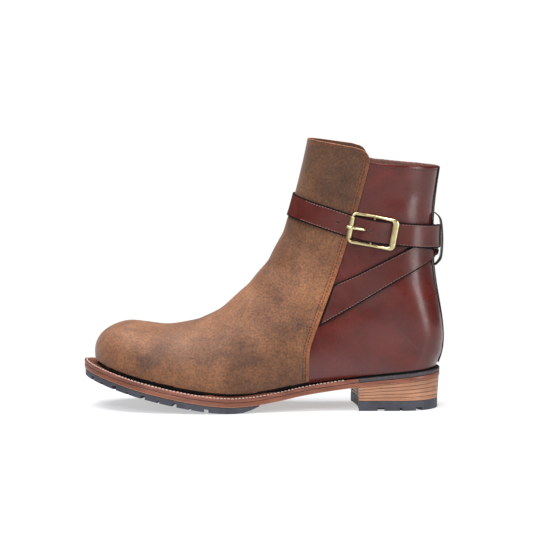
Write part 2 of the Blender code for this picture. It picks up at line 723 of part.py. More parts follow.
def vamp_rows():
    """Rows of the vamp over the upper: whole sections at first, then from edge to edge."""
    shares = columns_round()
    whole = whole_rows()
    places = [[(s, q) for q in shares] for s in whole]
    top_row = row_at_height(1.0, lambda t: SHAFT_HEIGHT * FLAP_TOP)
    corner_row = edge_place(FLAP_CORNER)[0]
    steps = [edge_step(s) for s in rows_above(whole[-1], corner_row)]
    straight = len(steps)
    steps += list(np.linspace(steps[-1], len(FLAP_EDGE) - 1, CORNER_ROWS + 1)[1:])
    bend = edge_place(steps[straight - 1])[0]
    for place, step in enumerate(steps):
        s, q = edge_place(step)
        late = max(0, place - straight + 1) / CORNER_ROWS
        ridge_row = s if late == 0 else bend + (top_row - bend) * late
        row = []
        for turn in shares:
            near = min(turn, 2 - turn)
            edge_q = q + (1 - q) * near
            row.append((s + (ridge_row - s) * near, edge_q if turn <= 1 else 2 - edge_q))
        places.append(row)
    return places


def build_vamp(surface):
    places = vamp_rows()
    outer = [[on_skin(s, q, VAMP_BUILD) for s, q in row] for row in places]
    inner = [[on_skin(s, q, VAMP_GAP) for s, q in row] for row in places]
    return shell("vamp", outer, inner, len(places), surface)


def build_plate(name, inset, first, last, low, high, surface, count=30):
    """A plate across the sole between two distances along it, low(t) to high(t)."""
    edges = []
    for side in (-1, 1):
        line = cut_line(inset_outline(side, inset), first, last)
        start = 0.5 if line[0, 0] > first else 0
        finish = count - 0.5 if line[-1, 0] < last else count
        edges.append(spread(line, count, start, finish))
    rows = []
    for (t, y), (far_t, far_y) in zip(*edges):
        rows.append([
            (t, y, low(t)),
            (far_t, far_y, low(far_t)),
            (far_t, far_y, high(far_t)),
            (t, y, high(t)),
        ])
    return loft(name, rows, surface)


def build_strip(name, first, last, inner_inset, surface, count=50):
    """The welt or the rand: a strip on the outsole's edge between two distances along it."""
    edges = []
    for inset in (lambda t: 0.0, inner_inset):
        lateral, medial = (cut_line(inset_outline(side, inset), first, last) for side in (-1, 1))
        round_toe = [lateral[::-1], medial]
        round_heel = [medial, lateral[::-1]]
        edges.append(np.concatenate(round_heel if first > 0 else round_toe))
    outer, inner = edges
    rows = []
    for (t, y), (in_t, in_y) in zip(spread(outer, count, 0, count), spread(inner, count, 0, count)):
        rows.append([
            (t, y, welt_level(t)),
            (t, y, welt_level(t) + WELT_THICK),
            (in_t, in_y, welt_level(in_t) + WELT_THICK),
            (in_t, in_y, welt_level(in_t)),
        ])
    return loft(name, rows, surface)


def build_sole(surfaces):
    """The leather outsole, the welt and the rand on its edge, and the insole between them."""
    breast = SOLE_LENGTH - HEEL_LENGTH

    def strip_inset(t):
        return body_inset(t) + WALL - 2 * GAP

    def insole_inset(t):
        return body_inset(t) + WALL + INSOLE_EASE

    def outsole_top(t):
        return underside(t) + OUTSOLE_THICK

    def insole_top(t):
        return welt_level(t) + INSOLE_THICK

    whole = (0, SOLE_LENGTH)
    build_plate("outsole", lambda t: 0.0, *whole, underside, outsole_top, surfaces["outsole"])
    build_strip("welt", 0, breast, strip_inset, surfaces["welt"])
    build_strip("heel_rand", breast + GAP, SOLE_LENGTH, strip_inset, surfaces["rand"], 30)
    build_plate("insole", insole_inset, *whole, welt_level, insole_top, surfaces["insole"])


def build_rubber_sole(surface):
    """The lugged rubber forepart, tapering out at the waist."""

    def top(t):
        return underside(t) - GAP

    def bottom(t):
        left = min(1.0, (RUBBER_LENGTH - t) / RUBBER_TAPER)
        thick = RUBBER_THICK * (RUBBER_FEATHER + (1 - RUBBER_FEATHER) * math.sin(left * math.pi / 2))
        return max(0.0, underside(t) - thick - GAP)

    def setback(t):
        return RUBBER_SETBACK

    made = build_plate("rubber_sole", setback, 0, RUBBER_LENGTH, bottom, top, surface, 26)
    boxes = []
    for side in (-1, 1):
        line = cut_line(inset_outline(side, setback), 0, RUBBER_LENGTH)
        length = float(np.sum(np.linalg.norm(np.diff(line, axis=0), axis=1)))
        for k in range(1, int((length - GROOVE_PITCH) / (GROOVE_PITCH / 2))):
            if k % 2 == 0:
                size = (GROOVE_WIDE, GROOVE_REACH, LUG_DEPTH)
            else:
                size = (GROOVE_NARROW, GROOVE_NARROW_REACH, GROOVE_NARROW_DEPTH)
            boxes.append(edge_block(line, side, k * GROOVE_PITCH / 2, size, bottom))
    cut(made, "grooves_cut", boxes)


def edge_block(line, side, distance, size, bottom):
    """A block that cuts a groove of some width, reach and depth inwards from an edge."""
    wide, reach, depth = size
    lengths = np.concatenate([[0], np.cumsum(np.linalg.norm(np.diff(line, axis=0), axis=1))])
    point, ahead = (
        np.array([np.interp(at, lengths, column) for column in line.T])
        for at in (distance, distance + MM)
    )
    tangent = (ahead - point) / np.linalg.norm(ahead - point)
    inward = np.array([tangent[1], -tangent[0]]) * side
    middle = point + inward * reach / 2
    centre = np.array([*middle, bottom(float(point[0]))])
    along = np.array([*tangent, 0])
    across = np.array([*inward, 0])
    up = np.array([0, 0, 1.0])
    return block(centre, along, across, up, wide / 2, reach / 2 + MM, -CUT_BELOW, depth)


def heel_outline(inset, count=12):
    """Plan of a heel lift: round the back, then a hollow breast."""
    first = SOLE_LENGTH - HEEL_LENGTH
    lateral = cut_line(inset_outline(-1, lambda t: inset), first, SOLE_LENGTH)
    medial = cut_line(inset_outline(1, lambda t: inset), first - BREAST_SKEW, SOLE_LENGTH)
    round_back = np.concatenate([lateral, medial[::-1]])
    points = spread(round_back, 2 * count + 3, 0, 2 * count + 3)
    start, finish = np.array(points[-1]), np.array(points[0])
    for k in range(1, 6):
        share = k / 6
        point = start + (finish - start) * share
        points.append((point[0] + BREAST_HOLLOW * math.sin(math.pi * share), point[1]))
    return points


def build_heel(surfaces):
    """The leather lifts, each a layer of its own, and the rubber top lift on the ground."""

    def level(t, layer):
        low = TOP_LIFT_THICK + GAP
        return low + (underside(t) - low) * layer / LIFT_COUNT

    for layer in range(LIFT_COUNT):
        lower = heel_outline(HEEL_SETBACK + HEEL_TAPER * (1 - layer / LIFT_COUNT))
        upper = heel_outline(HEEL_SETBACK + HEEL_TAPER * (1 - (layer + 1) / LIFT_COUNT))
        rows = [
            [(t, y, level(t, layer)) for t, y in lower],
            [(t, y, level(t, layer + 1) - GAP) for t, y in upper],
        ]
        loft(f"heel_lift_{layer + 1}", rows, surfaces[f"lift_{layer % 2}"])
    plan = heel_outline(HEEL_SETBACK + HEEL_TAPER)
    rows = [[(t, y, 0.0) for t, y in plan], [(t, y, TOP_LIFT_THICK) for t, y in plan]]
    made = loft("top_lift", rows, surfaces["rubber"])
    boxes = []
    first = SOLE_LENGTH - HEEL_LENGTH
    for side in (-1, 1):
        line = cut_line(inset_outline(side, lambda t: HEEL_SETBACK + HEEL_TAPER), first, SOLE_LENGTH)
        for share, wide, deep in NOTCHES:
            size = (wide, deep, NOTCH_HIGH)
            boxes.append(edge_block(line, side, HEEL_LENGTH * share, size, lambda t: 0.0))
    cut(made, "notches_cut", boxes)


def build_backstay(surface):
    """The narrow strip that covers the seam down the back."""
    top = row_at_height(0.0, collar)
    rows_s = [HEEL_ROW + 0.35, *range(HEEL_ROW + 1, ANKLE_ROW)]
    rows_s += [ANKLE_ROW + (top - ANKLE_ROW) * step / LEG_STEPS for step in range(LEG_STEPS + 1)]
    outer, inner = [], []
    for s in rows_s:
        ring = ring_at(round(s, 4))
        wide = BACKSTAY_HALF / around_length(ring)
        turns = [wide * k / 2 for k in range(-2, 3)]
        outer.append([on_skin(s, q, BACKSTAY_BUILD) for q in turns])
        inner.append([on_skin(s, q, GAP) for q in turns])
    return shell("backstay", outer, inner, len(outer), surface)


def resting_height(base, straps):
    """Height over the upper at which a strap's underside lies."""
    under = {
        "quarter": 0.0,
        "vamp": VAMP_BUILD,
        "backstay": BACKSTAY_BUILD,
        "bar": BAR_RISE + BAR_RADIUS + GAP + FOLD_THICK,
    }
    return under[base] + straps * STRAP_BUILD + STRAP_EASE


class Route:
    """A strap's centre line over the upper, with the surface beside it."""

    def __init__(self, stops, stations):
        places = []
        for stop in stops:
            z = stop.height * SHAFT_HEIGHT
            if stop.side in ("front", "back"):
                turn = 1.0 if stop.side == "front" else 0.0
                s = row_at_height(turn, lambda t: z)
                q = turn
            else:
                s, share = locate(stop.along * SOLE_LENGTH, z)
                q = share if stop.side == "lateral" else 2 - share
            places.append((s, q + stop.turn))
        index = np.arange(len(stops), dtype=float)
        rows, turns = columns(places)
        heights = np.array([resting_height(stop.base, stop.straps) for stop in stops])
        widths = np.array([stop.width for stop in stops]) * STRAP_WIDTH
        self.across = np.array([-1, -1 / 3, 1 / 3, 1]) / 2
        self.grid = []
        at = np.linspace(0, len(stops) - 1, stations)
        line = [(smooth(a, index, rows), smooth(a, index, turns)) for a in at]
        centres = np.array([skin(s, q) for s, q in line])
        for _ in range(ROUTE_EVENING):
            centres[1:-1] = (centres[:-2] + 2 * centres[1:-1] + centres[2:]) / 4
        line = [self.settle(s, q, centre) for (s, q), centre in zip(line, centres)]
        centres = np.array([skin(s, q) for s, q in line])
        self.length = np.concatenate([[0], np.cumsum(np.linalg.norm(np.diff(centres, axis=0), axis=1))])
        self.index = at
        tangents = np.gradient(centres, axis=0)
        for (s, q), centre, tangent, a in zip(line, centres, tangents, at):
            normal = outward(s, q)
            side = np.cross(normal, tangent)
            side /= np.linalg.norm(side)
            width = np.interp(a, index, widths)
            row = []
            for share in self.across:
                place = self.settle(s, q, centre + side * share * width)
                row.append((skin(*place), outward(*place)))
            self.grid.append(row)
        self.height = np.interp(at, index, heights)
        self.meet_seam()

    @staticmethod
    def settle(s, q, target):
        """The place on the surface nearest to a point close to it."""
        for _ in range(4):
            here = skin(s, q)
            by_s = (skin(s + 0.05, q) - skin(s - 0.05, q)) / 0.1
            by_q = (skin(s, q + 0.01) - skin(s, q - 0.01)) / 0.02
            step = np.linalg.lstsq(np.stack([by_s, by_q], axis=1), target - here, rcond=None)[0]
            s = float(s + step[0])
            q = float(q + step[1])
        return s, q

    def at_stop(self, stop):
        """Distance along the route of one of its stops."""
        return float(np.interp(stop, self.index, self.length))

    def rest(self, distance):
        return float(np.interp(distance, self.length, self.height))

    def row(self, distance, height):
        """Points across the strap at a distance along it and a height over the upper."""
        return [self.point(k, at, height) for k, at in enumerate(self.slant(distance))]

    def point(self, k, distance, height=0.0):
        """Point on line k of the strap."""
        place = float(np.interp(distance, self.length, np.arange(len(self.length))))
        i = min(int(place), len(self.grid) - 2)
        u = place - i
        near, far = self.grid[i][k], self.grid[i + 1][k]
        normal = near[1] * (1 - u) + far[1] * u
        return near[0] * (1 - u) + far[0] * u + normal / np.linalg.norm(normal) * height

    def slant(self, distance):
        """Distances of the four lines: at the start they follow the slanted edge of the vamp."""
        share = min(1.0, (distance - self.start) / SEAM_BLEND)
        return [distance + (at - self.start) * (1 - share) for at in self.starts]

    def meet_seam(self):
        """Where each line of the strap comes out from behind the vamp's edge."""
        along, height = columns(FLAP_EDGE)
        self.starts = []
        for k in range(len(self.across)):
            at = 0.0
            while at < self.length[-1] / 4:
                t, _, z = self.point(k, at)
                edge = np.interp(z / SHAFT_HEIGHT, height[:FLAP_CORNER], along[:FLAP_CORNER])
                if t > edge * SOLE_LENGTH + SEAM_CLEARANCE:
                    break
                at += 0.3 * MM
            self.starts.append(at)
        self.start = (self.starts[1] + self.starts[2]) / 2

    def stations(self, first, last, count):
        """Distances between two ends, closer together where the strap turns sharply."""
        normals = np.array([(row[1][1] + row[2][1]) / 2 for row in self.grid])
        turning = np.concatenate([[0], np.cumsum(np.linalg.norm(np.diff(normals, axis=0), axis=1))])
        measure = self.length + turning * TURN_WEIGHT
        ends = np.interp([first, last], self.length, measure)
        return np.interp(np.linspace(*ends, count), measure, self.length)


def strap_rows(route, profile, ends=()):
    """Loops across a strap from pairs of (distance, height) for its under and upper sides.

    ends holds the share of the width that is left at each of the last pairs.
    """
    rows = []
    for place, (under, over) in enumerate(profile):
        low = route.row(*under)
        high = route.row(*over)
        late = place - (len(profile) - len(ends))
        share = ends[late] if late >= 0 else 1.0
        if share < 1:
            low = narrow(low, share)
            high = narrow(high, share)
        rows.append(low + high[::-1])
    return rows


def narrow(row, share):
    middle = (row[0] + row[-1]) / 2
    return [middle + (point - middle) * share for point in row]


def level_out(row, place, share):
    """Flattens a strap's section across, as the stiff strap lies over the buckle's bar."""
    half = len(row) // 2
    for side in (range(half), range(half, 2 * half)):
        heights = {k: float(np.dot(row[k] - place.origin, place.z)) for k in side}
        top = max(heights.values())
        for k in side:
            row[k] = row[k] + place.z * (top - heights[k]) * share


def build_long_strap(route, buckle_at, place, prong, surface):
    """The long strap from the vamp's seam, round the leg and through the buckle to its tail."""
    last = route.length[-1]
    crest = BUCKLE_LENGTH / 2 - BUCKLE_WIDE_BAR - 2 * GAP
    tip = STRAP_WIDTH * TIP_LENGTH
    profile = []
    for distance in np.concatenate([
        route.stations(route.start, buckle_at - crest, 47)[:-1],
        buckle_at + crest * np.linspace(-1, 1, 9),
        route.stations(buckle_at + crest, last - tip, 8)[1:],
        last - tip * np.array([0.55, 0.25, 0.08, 0]),
    ]):
        height = over_bar(route, distance, buckle_at, crest)
        profile.append(((distance, height), (distance, height + STRAP_THICK)))
    rows = strap_rows(route, profile, (0.9, 0.7, 0.46, 0.25))
    for row, ((distance, _), _) in zip(rows, profile):
        flat = 1 - abs(distance - buckle_at) / crest
        if flat > 0:
            level_out(row, place, min(1.0, 2 * flat))
    made = loft("long_strap", rows, surface)
    boxes = [prong.path_block(place, GAP) for place in range(*PRONG_THROUGH)]
    cut(made, "prong_hole_cut", boxes)


def over_bar(route, distance, buckle_at, crest):
    """The strap rests on what is below it, and rises over the buckle's middle bar."""
    away = abs(distance - buckle_at)
    if away >= crest:
        return route.rest(distance)
    foot = route.rest(buckle_at + math.copysign(crest, distance - buckle_at))
    top = resting_height("bar", 0)
    return foot + (top - foot) * (0.5 + 0.5 * math.cos(math.pi * away / crest))


def build_buckle_strap(route, bar_at, place, surface):
    """The short strap from the medial seam, folded round the buckle's middle bar."""
    profile = []
    for distance in route.stations(route.start, bar_at - FOLD_RETURN - 6 * MM, 29):
        height = route.rest(distance)
        profile.append(((distance, height), (distance, height + STRAP_THICK)))
    rows = strap_rows(route, profile)
    inner = BAR_RADIUS + GAP
    outer = inner + FOLD_THICK
    low = BAR_RISE - outer
    folds = [((FOLD_RETURN, low), (FOLD_RETURN, low + FOLD_THICK))]
    for k in range(9):
        turn = math.pi * k / 8
        reach, rise = -math.sin(turn), -math.cos(turn)
        folds.append(((outer * reach, BAR_RISE + outer * rise), (inner * reach, BAR_RISE + inner * rise)))
    widths = route.across[::-1] * STRAP_WIDTH * FOLD_WIDTH
    for under, over in folds:
        low_side = [place.point(under[0], y, under[1]) for y in widths]
        high_side = [place.point(over[0], y, over[1]) for y in widths]
        rows.append(low_side + high_side[::-1])
    return loft("buckle_strap", rows, surface)


class BucklePlace:
    """The buckle's own frame: x along the strap to the rear, y across it, z off the leg."""

    def __init__(self, route, distance):
        row = route.row(distance, 0.0)
        ahead = route.row(distance + MM, 0.0)
        self.origin = (row[1] + row[2]) / 2
        self.x = (ahead[1] + ahead[2]) / 2 - self.origin
        self.x /= np.linalg.norm(self.x)
        across = row[2] - row[1]
        self.z = np.cross(self.x, across)
        self.z /= np.linalg.norm(self.z)
        self.z *= math.copysign(1, -self.z[1])
        self.y = np.cross(self.z, self.x)
        self.route = route
        self.distance = distance

    def point(self, x, y, z):
        return self.origin + self.x * x + self.y * y + self.z * z

    def leg(self, x):
        """Height of the leg under the strap's middle at x, seldom above zero."""
        row = self.route.row(self.distance + x, 0.0)
        return float(np.dot((row[1] + row[2]) / 2 - self.origin, self.z))


def bar_levels(place):
    """Heights of the front and rear bars in the buckle's frame, clear of the straps below."""
    front_x = -(BUCKLE_LENGTH / 2 - ROLLER_RADIUS)
    rear_x = BUCKLE_LENGTH / 2 - BUCKLE_WIDE_BAR / 2
    front = place.leg(front_x) + resting_height("vamp", 1) + GAP + ROLLER_RADIUS
    rear = place.leg(rear_x) + resting_height("quarter", 2) + 2 * GAP + BUCKLE_THICK / 2
    return (front_x, max(front, BAR_RISE)), (rear_x, max(rear, BAR_RISE))


def frame_level(x, levels):
    (front_x, front), (rear_x, rear) = levels
    end_x, end = (-front_x - BAR_RADIUS, front) if x < 0 else (rear_x - BUCKLE_WIDE_BAR / 2, rear)
    return BAR_RISE + (end - BAR_RISE) * min(1.0, abs(x) / end_x) ** 2


def rounded_rectangle(x_low, x_high, y_half, corner, steps=4):
    """Points round a rectangle with round corners, with extra ones along its long sides."""
    corners = ((x_high, y_half, 0), (x_low, y_half, 90), (x_low, -y_half, 180), (x_high, -y_half, 270))
    points = []
    for x, y, start in corners:
        centre_x = x - math.copysign(corner, x)
        centre_y = y - math.copysign(corner, y)
        for k in range(steps + 1):
            angle = math.radians(start + 90 * k / steps)
            points.append((centre_x + corner * math.cos(angle), centre_y + corner * math.sin(angle)))
        if start in (0, 180):
            low_x, high_x = x_low + corner, x_high - corner
            for share in (0.25, 0.5, 0.75):
                near, far = (high_x, low_x) if start == 0 else (low_x, high_x)
                points.append((near + (far - near) * share, y))
    return points


def build_buckle(place, levels, brass):
    """The cast frame with its three bars, in one piece."""
    half = BUCKLE_WIDTH / 2
    (front_x, _), _ = levels
    outer = rounded_rectangle(front_x - BAR_RADIUS, BUCKLE_LENGTH / 2, half, BUCKLE_CORNER)
    rear_edge = BUCKLE_LENGTH / 2 - BUCKLE_WIDE_BAR
    inner_corner = BUCKLE_CORNER - BUCKLE_RAIL
    inner = rounded_rectangle(front_x + BAR_RADIUS, rear_edge, half - BUCKLE_RAIL, inner_corner)
    rows = []
    thick = BUCKLE_THICK / 2
    for (x, y), (in_x, in_y) in zip(outer, inner):
        row = []
        for share, level in BAR_SECTION:
            at_x = x + (in_x - x) * share
            at_y = y + (in_y - y) * share
            row.append(place.point(at_x, at_y, frame_level(at_x, levels) + level * thick))
        rows.append(row)
    frame = loft("buckle_frame", rows, brass, closed=True)
    bar = []
    for y in (-half + BUCKLE_RAIL / 2, half - BUCKLE_RAIL / 2):
        bar.append([place.point(BAR_RADIUS * c, y, BAR_RISE + BAR_RADIUS * d) for c, d in circle(12)])
    middle = loft("middle_bar_cut", bar, brass)
    middle.hide_render = True
    middle.display_type = "WIRE"
    joined = frame.modifiers.new("middle bar", "BOOLEAN")
    joined.operation = "UNION"
    joined.object = middle
    return frame


def circle(count):
    return [(math.cos(2 * math.pi * k / count), math.sin(2 * math.pi * k / count)) for k in range(count)]


def build_roller(place, levels, brass):
    """The roller that turns on the front bar under the prong."""
    (front_x, level), _ = levels
    half = BUCKLE_WIDTH / 2 - BUCKLE_CORNER
    bore = math.hypot(BAR_RADIUS, BUCKLE_THICK / 4) + GAP
    rows = []
    for c, d in circle(16):
        rows.append([
            place.point(front_x + radius * c, y, level + radius * d)
            for radius, y in ((bore, -half), (ROLLER_RADIUS, -half), (ROLLER_RADIUS, half), (bore, half))
        ])
    return loft("buckle_roller", rows, brass, closed=True)


class Prong:
    """The prong's path in the buckle's frame: an eye round the middle bar, then its tongue."""

    def __init__(self, place, levels):
        (front_x, level), _ = levels
        eye = BAR_RADIUS + GAP + PRONG_EYE / 2
        over = level + ROLLER_RADIUS + GAP + PRONG_THICK / 2
        steps = []
        for k in range(10):
            turn = math.radians(-150 + 240 * k / 9)
            steps.append((eye * math.cos(turn), BAR_RISE + eye * math.sin(turn), PRONG_EYE))
        top = BAR_RISE + eye
        steps += [
            (0.20 * front_x, top + 0.05 * (over - top), PRONG_EYE * 1.15),
            (0.42 * front_x, top + 0.18 * (over - top), PRONG_THICK * 0.75),
            (0.62 * front_x, top + 0.50 * (over - top), PRONG_THICK * 0.95),
            (0.80 * front_x, top + 0.86 * (over - top), PRONG_THICK),
            (1.00 * front_x, over, PRONG_THICK),
            (1.13 * front_x, over - 0.35 * ROLLER_RADIUS, PRONG_THICK * 0.8),
            (1.19 * front_x, over - 0.75 * ROLLER_RADIUS, PRONG_THICK * 0.5),
        ]
        self.place = place
        self.steps = steps

    def row(self, k, grow=0.0, corners=8):
        """The outline of the prong at one step, grown by a clearance."""
        xs = [step[0] for step in self.steps]
        zs = [step[1] for step in self.steps]
        near, far = max(k - 1, 0), min(k + 1, len(self.steps) - 1)
        forward = np.array([xs[far] - xs[near], zs[far] - zs[near]])
        forward /= np.linalg.norm(forward)
        lift = np.array([-forward[1], forward[0]])
        x, z, thick = self.steps[k]
        row = []
        for c, d in circle(corners):
            up = lift * d * (thick / 2 + grow)
            row.append(self.place.point(x + up[0], c * (PRONG_WIDTH / 2 + grow), z + up[1]))
        return row

    def path_block(self, k, grow):
        return self.row(k, grow * 2, 8) + self.row(k + 1, grow * 2, 8)


def build_prong(prong, brass):
    return loft("buckle_prong", [prong.row(k) for k in range(len(prong.steps))], brass)


def slot_fold(strap, place):
    """The slot in the folded end that the prong's eye turns in."""
    reach = BAR_RADIUS + GAP + FOLD_THICK + 2 * GAP
    corners = block(
        place.point(0.15 * reach, 0, BAR_RISE),
        place.x,
        place.y,
        place.z,
        reach * 1.15,
        PRONG_WIDTH / 2 + GAP,
        -reach,
        reach,
    )
    cut(strap, "fold_slot_cut", [corners])


def build_heel_loop(surface):
    """The keeper loop sewn on the back, which arches over the straps."""
    pile = resting_height("backstay", 3) + STRAP_GAP
    rows = []
    for k in range(13):
        share = k / 12
        z = LOOP_LOW + (LOOP_HIGH - LOOP_LOW) * share
        s = row_at_height(0.0, lambda t: z)
        ring = ring_at(round(s, 4))
        wide = LOOP_WIDTH / 2 / around_length(ring)
        low = BACKSTAY_BUILD + GAP
        height = low + (pile - low) * math.sin(math.pi * share) ** LOOP_ARCH
        turns = [wide * j / 2 for j in range(-2, 3)]
        under = [on_skin(s, q, height) for q in turns]
        over = [on_skin(s, q, height + LOOP_THICK) for q in turns]
        rows.append(under + over[::-1])
    return loft("heel_loop", rows, surface)


def around_length(ring):
    """Length of a section's half outline."""
    chord = np.linalg.norm(ring.ridge - ring.end)
    return float(np.sum(np.hypot(np.diff(ring.v) * chord, np.diff(ring.p) * ring.half)))


def main():
    for old in list(bpy.data.objects):
        bpy.data.objects.remove(old, do_unlink=True)
    strap = material("strap leather", (0.10, 0.02, 0.015), 0.3)
    dark = material("backstay leather", (0.02, 0.015, 0.015), 0.5)
    brass = material("brass", (0.75, 0.55, 0.25), 0.25, 1.0)
    surfaces = {
        "outsole": material("outsole leather", (0.35, 0.13, 0.06), 0.5),
        "welt": material("welt leather", (0.17, 0.05, 0.03), 0.5),
        "rand": material("rand", (0.04, 0.035, 0.04), 0.6),
        "insole": material("insole leather", (0.45, 0.3, 0.18), 0.7),
        "rubber": material("rubber", (0.03, 0.032, 0.045), 0.7),
        "lift_0": material("heel lift leather", (0.38, 0.18, 0.10), 0.5),
        "lift_1": material("heel lift leather dark", (0.33, 0.15, 0.08), 0.5),
    }
    build_upper(material("quarter leather", (0.13, 0.025, 0.02), 0.3))
    build_vamp(material("vamp leather", (0.22, 0.09, 0.05), 0.85))
    build_sole(surfaces)
    build_rubber_sole(surfaces["rubber"])
    build_heel(surfaces)
    build_backstay(dark)
    long_route = Route(LONG_STRAP, 190)
    buckle_at = long_route.at_stop(LONG_STRAP_BAR)
    place = BucklePlace(long_route, buckle_at)
    levels = bar_levels(place)
    prong = Prong(place, levels)
    build_long_strap(long_route, buckle_at, place, prong, strap)
    short_route = Route(BUCKLE_STRAP, 120)
    short = build_buckle_strap(short_route, short_route.at_stop(BUCKLE_STRAP_BAR), place, strap)
    slot_fold(short, place)
    build_buckle(place, levels, brass)
    build_roller(place, levels, brass)
    build_prong(prong, brass)
    build_heel_loop(dark)


main()
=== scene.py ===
"""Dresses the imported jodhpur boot: fine surfaces over its solids, stitches, materials, light and camera."""

import math
from collections import namedtuple

import bmesh
import bpy
import numpy as np
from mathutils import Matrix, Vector, bvhtree, kdtree


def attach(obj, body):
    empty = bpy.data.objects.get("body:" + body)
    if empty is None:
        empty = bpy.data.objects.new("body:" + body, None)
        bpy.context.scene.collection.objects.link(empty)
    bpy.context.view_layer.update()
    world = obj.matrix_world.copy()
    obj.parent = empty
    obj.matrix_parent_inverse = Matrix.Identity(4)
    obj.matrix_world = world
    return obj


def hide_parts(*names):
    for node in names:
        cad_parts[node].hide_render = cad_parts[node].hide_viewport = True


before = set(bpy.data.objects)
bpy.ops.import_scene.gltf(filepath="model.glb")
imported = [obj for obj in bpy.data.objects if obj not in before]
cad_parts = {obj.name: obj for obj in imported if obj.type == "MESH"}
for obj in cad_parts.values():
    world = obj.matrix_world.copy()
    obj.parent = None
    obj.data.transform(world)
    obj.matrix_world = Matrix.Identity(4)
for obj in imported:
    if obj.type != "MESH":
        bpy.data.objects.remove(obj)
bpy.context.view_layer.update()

MM = 0.001
GAP = 0.3 * MM

# Sizes of the boot, as in the part's own source
SOLE_LENGTH = 304 * MM
BALL_WIDTH = 110 * MM
SHAFT_HEIGHT = 229 * MM
HEEL_LENGTH = 70 * MM
SPRING_RISE = 27.7 * MM
HEEL_RISE = 21.9 * MM
TREAD_AT = 0.421
SPRING_POWER = 1.55
RUBBER_THICK = 5.3 * MM
OUTSOLE_THICK = 3.9 * MM
WELT_THICK = 2.9 * MM
WELT_REACH = 9.4 * MM
TOP_LIFT_THICK = 8.2 * MM
LIFT_COUNT = 5
HEEL_SETBACK = 0.6 * MM
HEEL_TAPER = 1.2 * MM
BREAST_SKEW = 5 * MM
BREAST_HOLLOW = 2.2 * MM
WALL = 2.4 * MM
VAMP_THICK = 1.4 * MM
VAMP_GAP = 0.7 * MM
VAMP_BUILD = VAMP_GAP + VAMP_THICK
HEEL_CENTRE = SOLE_LENGTH - HEEL_LENGTH / 2

# Plan of the sole: share of SOLE_LENGTH, then middle line and half width, shares of BALL_WIDTH
PlanRow = namedtuple("PlanRow", "along middle half")
PLAN = (
    PlanRow(0.00, 0.045, 0.440),
    PlanRow(0.10, 0.030, 0.465),
    PlanRow(0.20, 0.010, 0.490),
    PlanRow(0.31, -0.015, 0.500),
    PlanRow(0.40, -0.040, 0.465),
    PlanRow(0.50, -0.055, 0.385),
    PlanRow(0.60, -0.045, 0.322),
    PlanRow(0.70, -0.022, 0.312),
    PlanRow(0.80, -0.005, 0.325),
    PlanRow(0.90, 0.000, 0.330),
    PlanRow(1.00, 0.000, 0.330),
)
TOE_ROUND = 0.185
TOE_ROUND_POWER = 2.05
HEEL_ROUND = 0.115
HEEL_ROUND_POWER = 2.15

# Height of the outsole's underside behind the tread: share of SOLE_LENGTH, share of HEEL_RISE
ArchRow = namedtuple("ArchRow", "along rise")
ARCH = (
    ArchRow(TREAD_AT, 0.000),
    ArchRow(0.480, 0.045),
    ArchRow(0.539, 0.165),
    ArchRow(0.615, 0.372),
    ArchRow(0.691, 0.535),
    ArchRow(0.763, 0.665),
    ArchRow(0.882, 0.834),
    ArchRow(1.000, 1.000),
)

# How far the welt reaches past the boot: share of SOLE_LENGTH, share of WELT_REACH
ReachRow = namedtuple("ReachRow", "along reach")
REACH = (
    ReachRow(0.00, 1.00),
    ReachRow(0.10, 0.80),
    ReachRow(0.20, 0.70),
    ReachRow(0.40, 0.66),
    ReachRow(0.60, 0.50),
    ReachRow(0.76, 0.33),
    ReachRow(0.90, 0.20),
    ReachRow(1.00, 0.12),
)

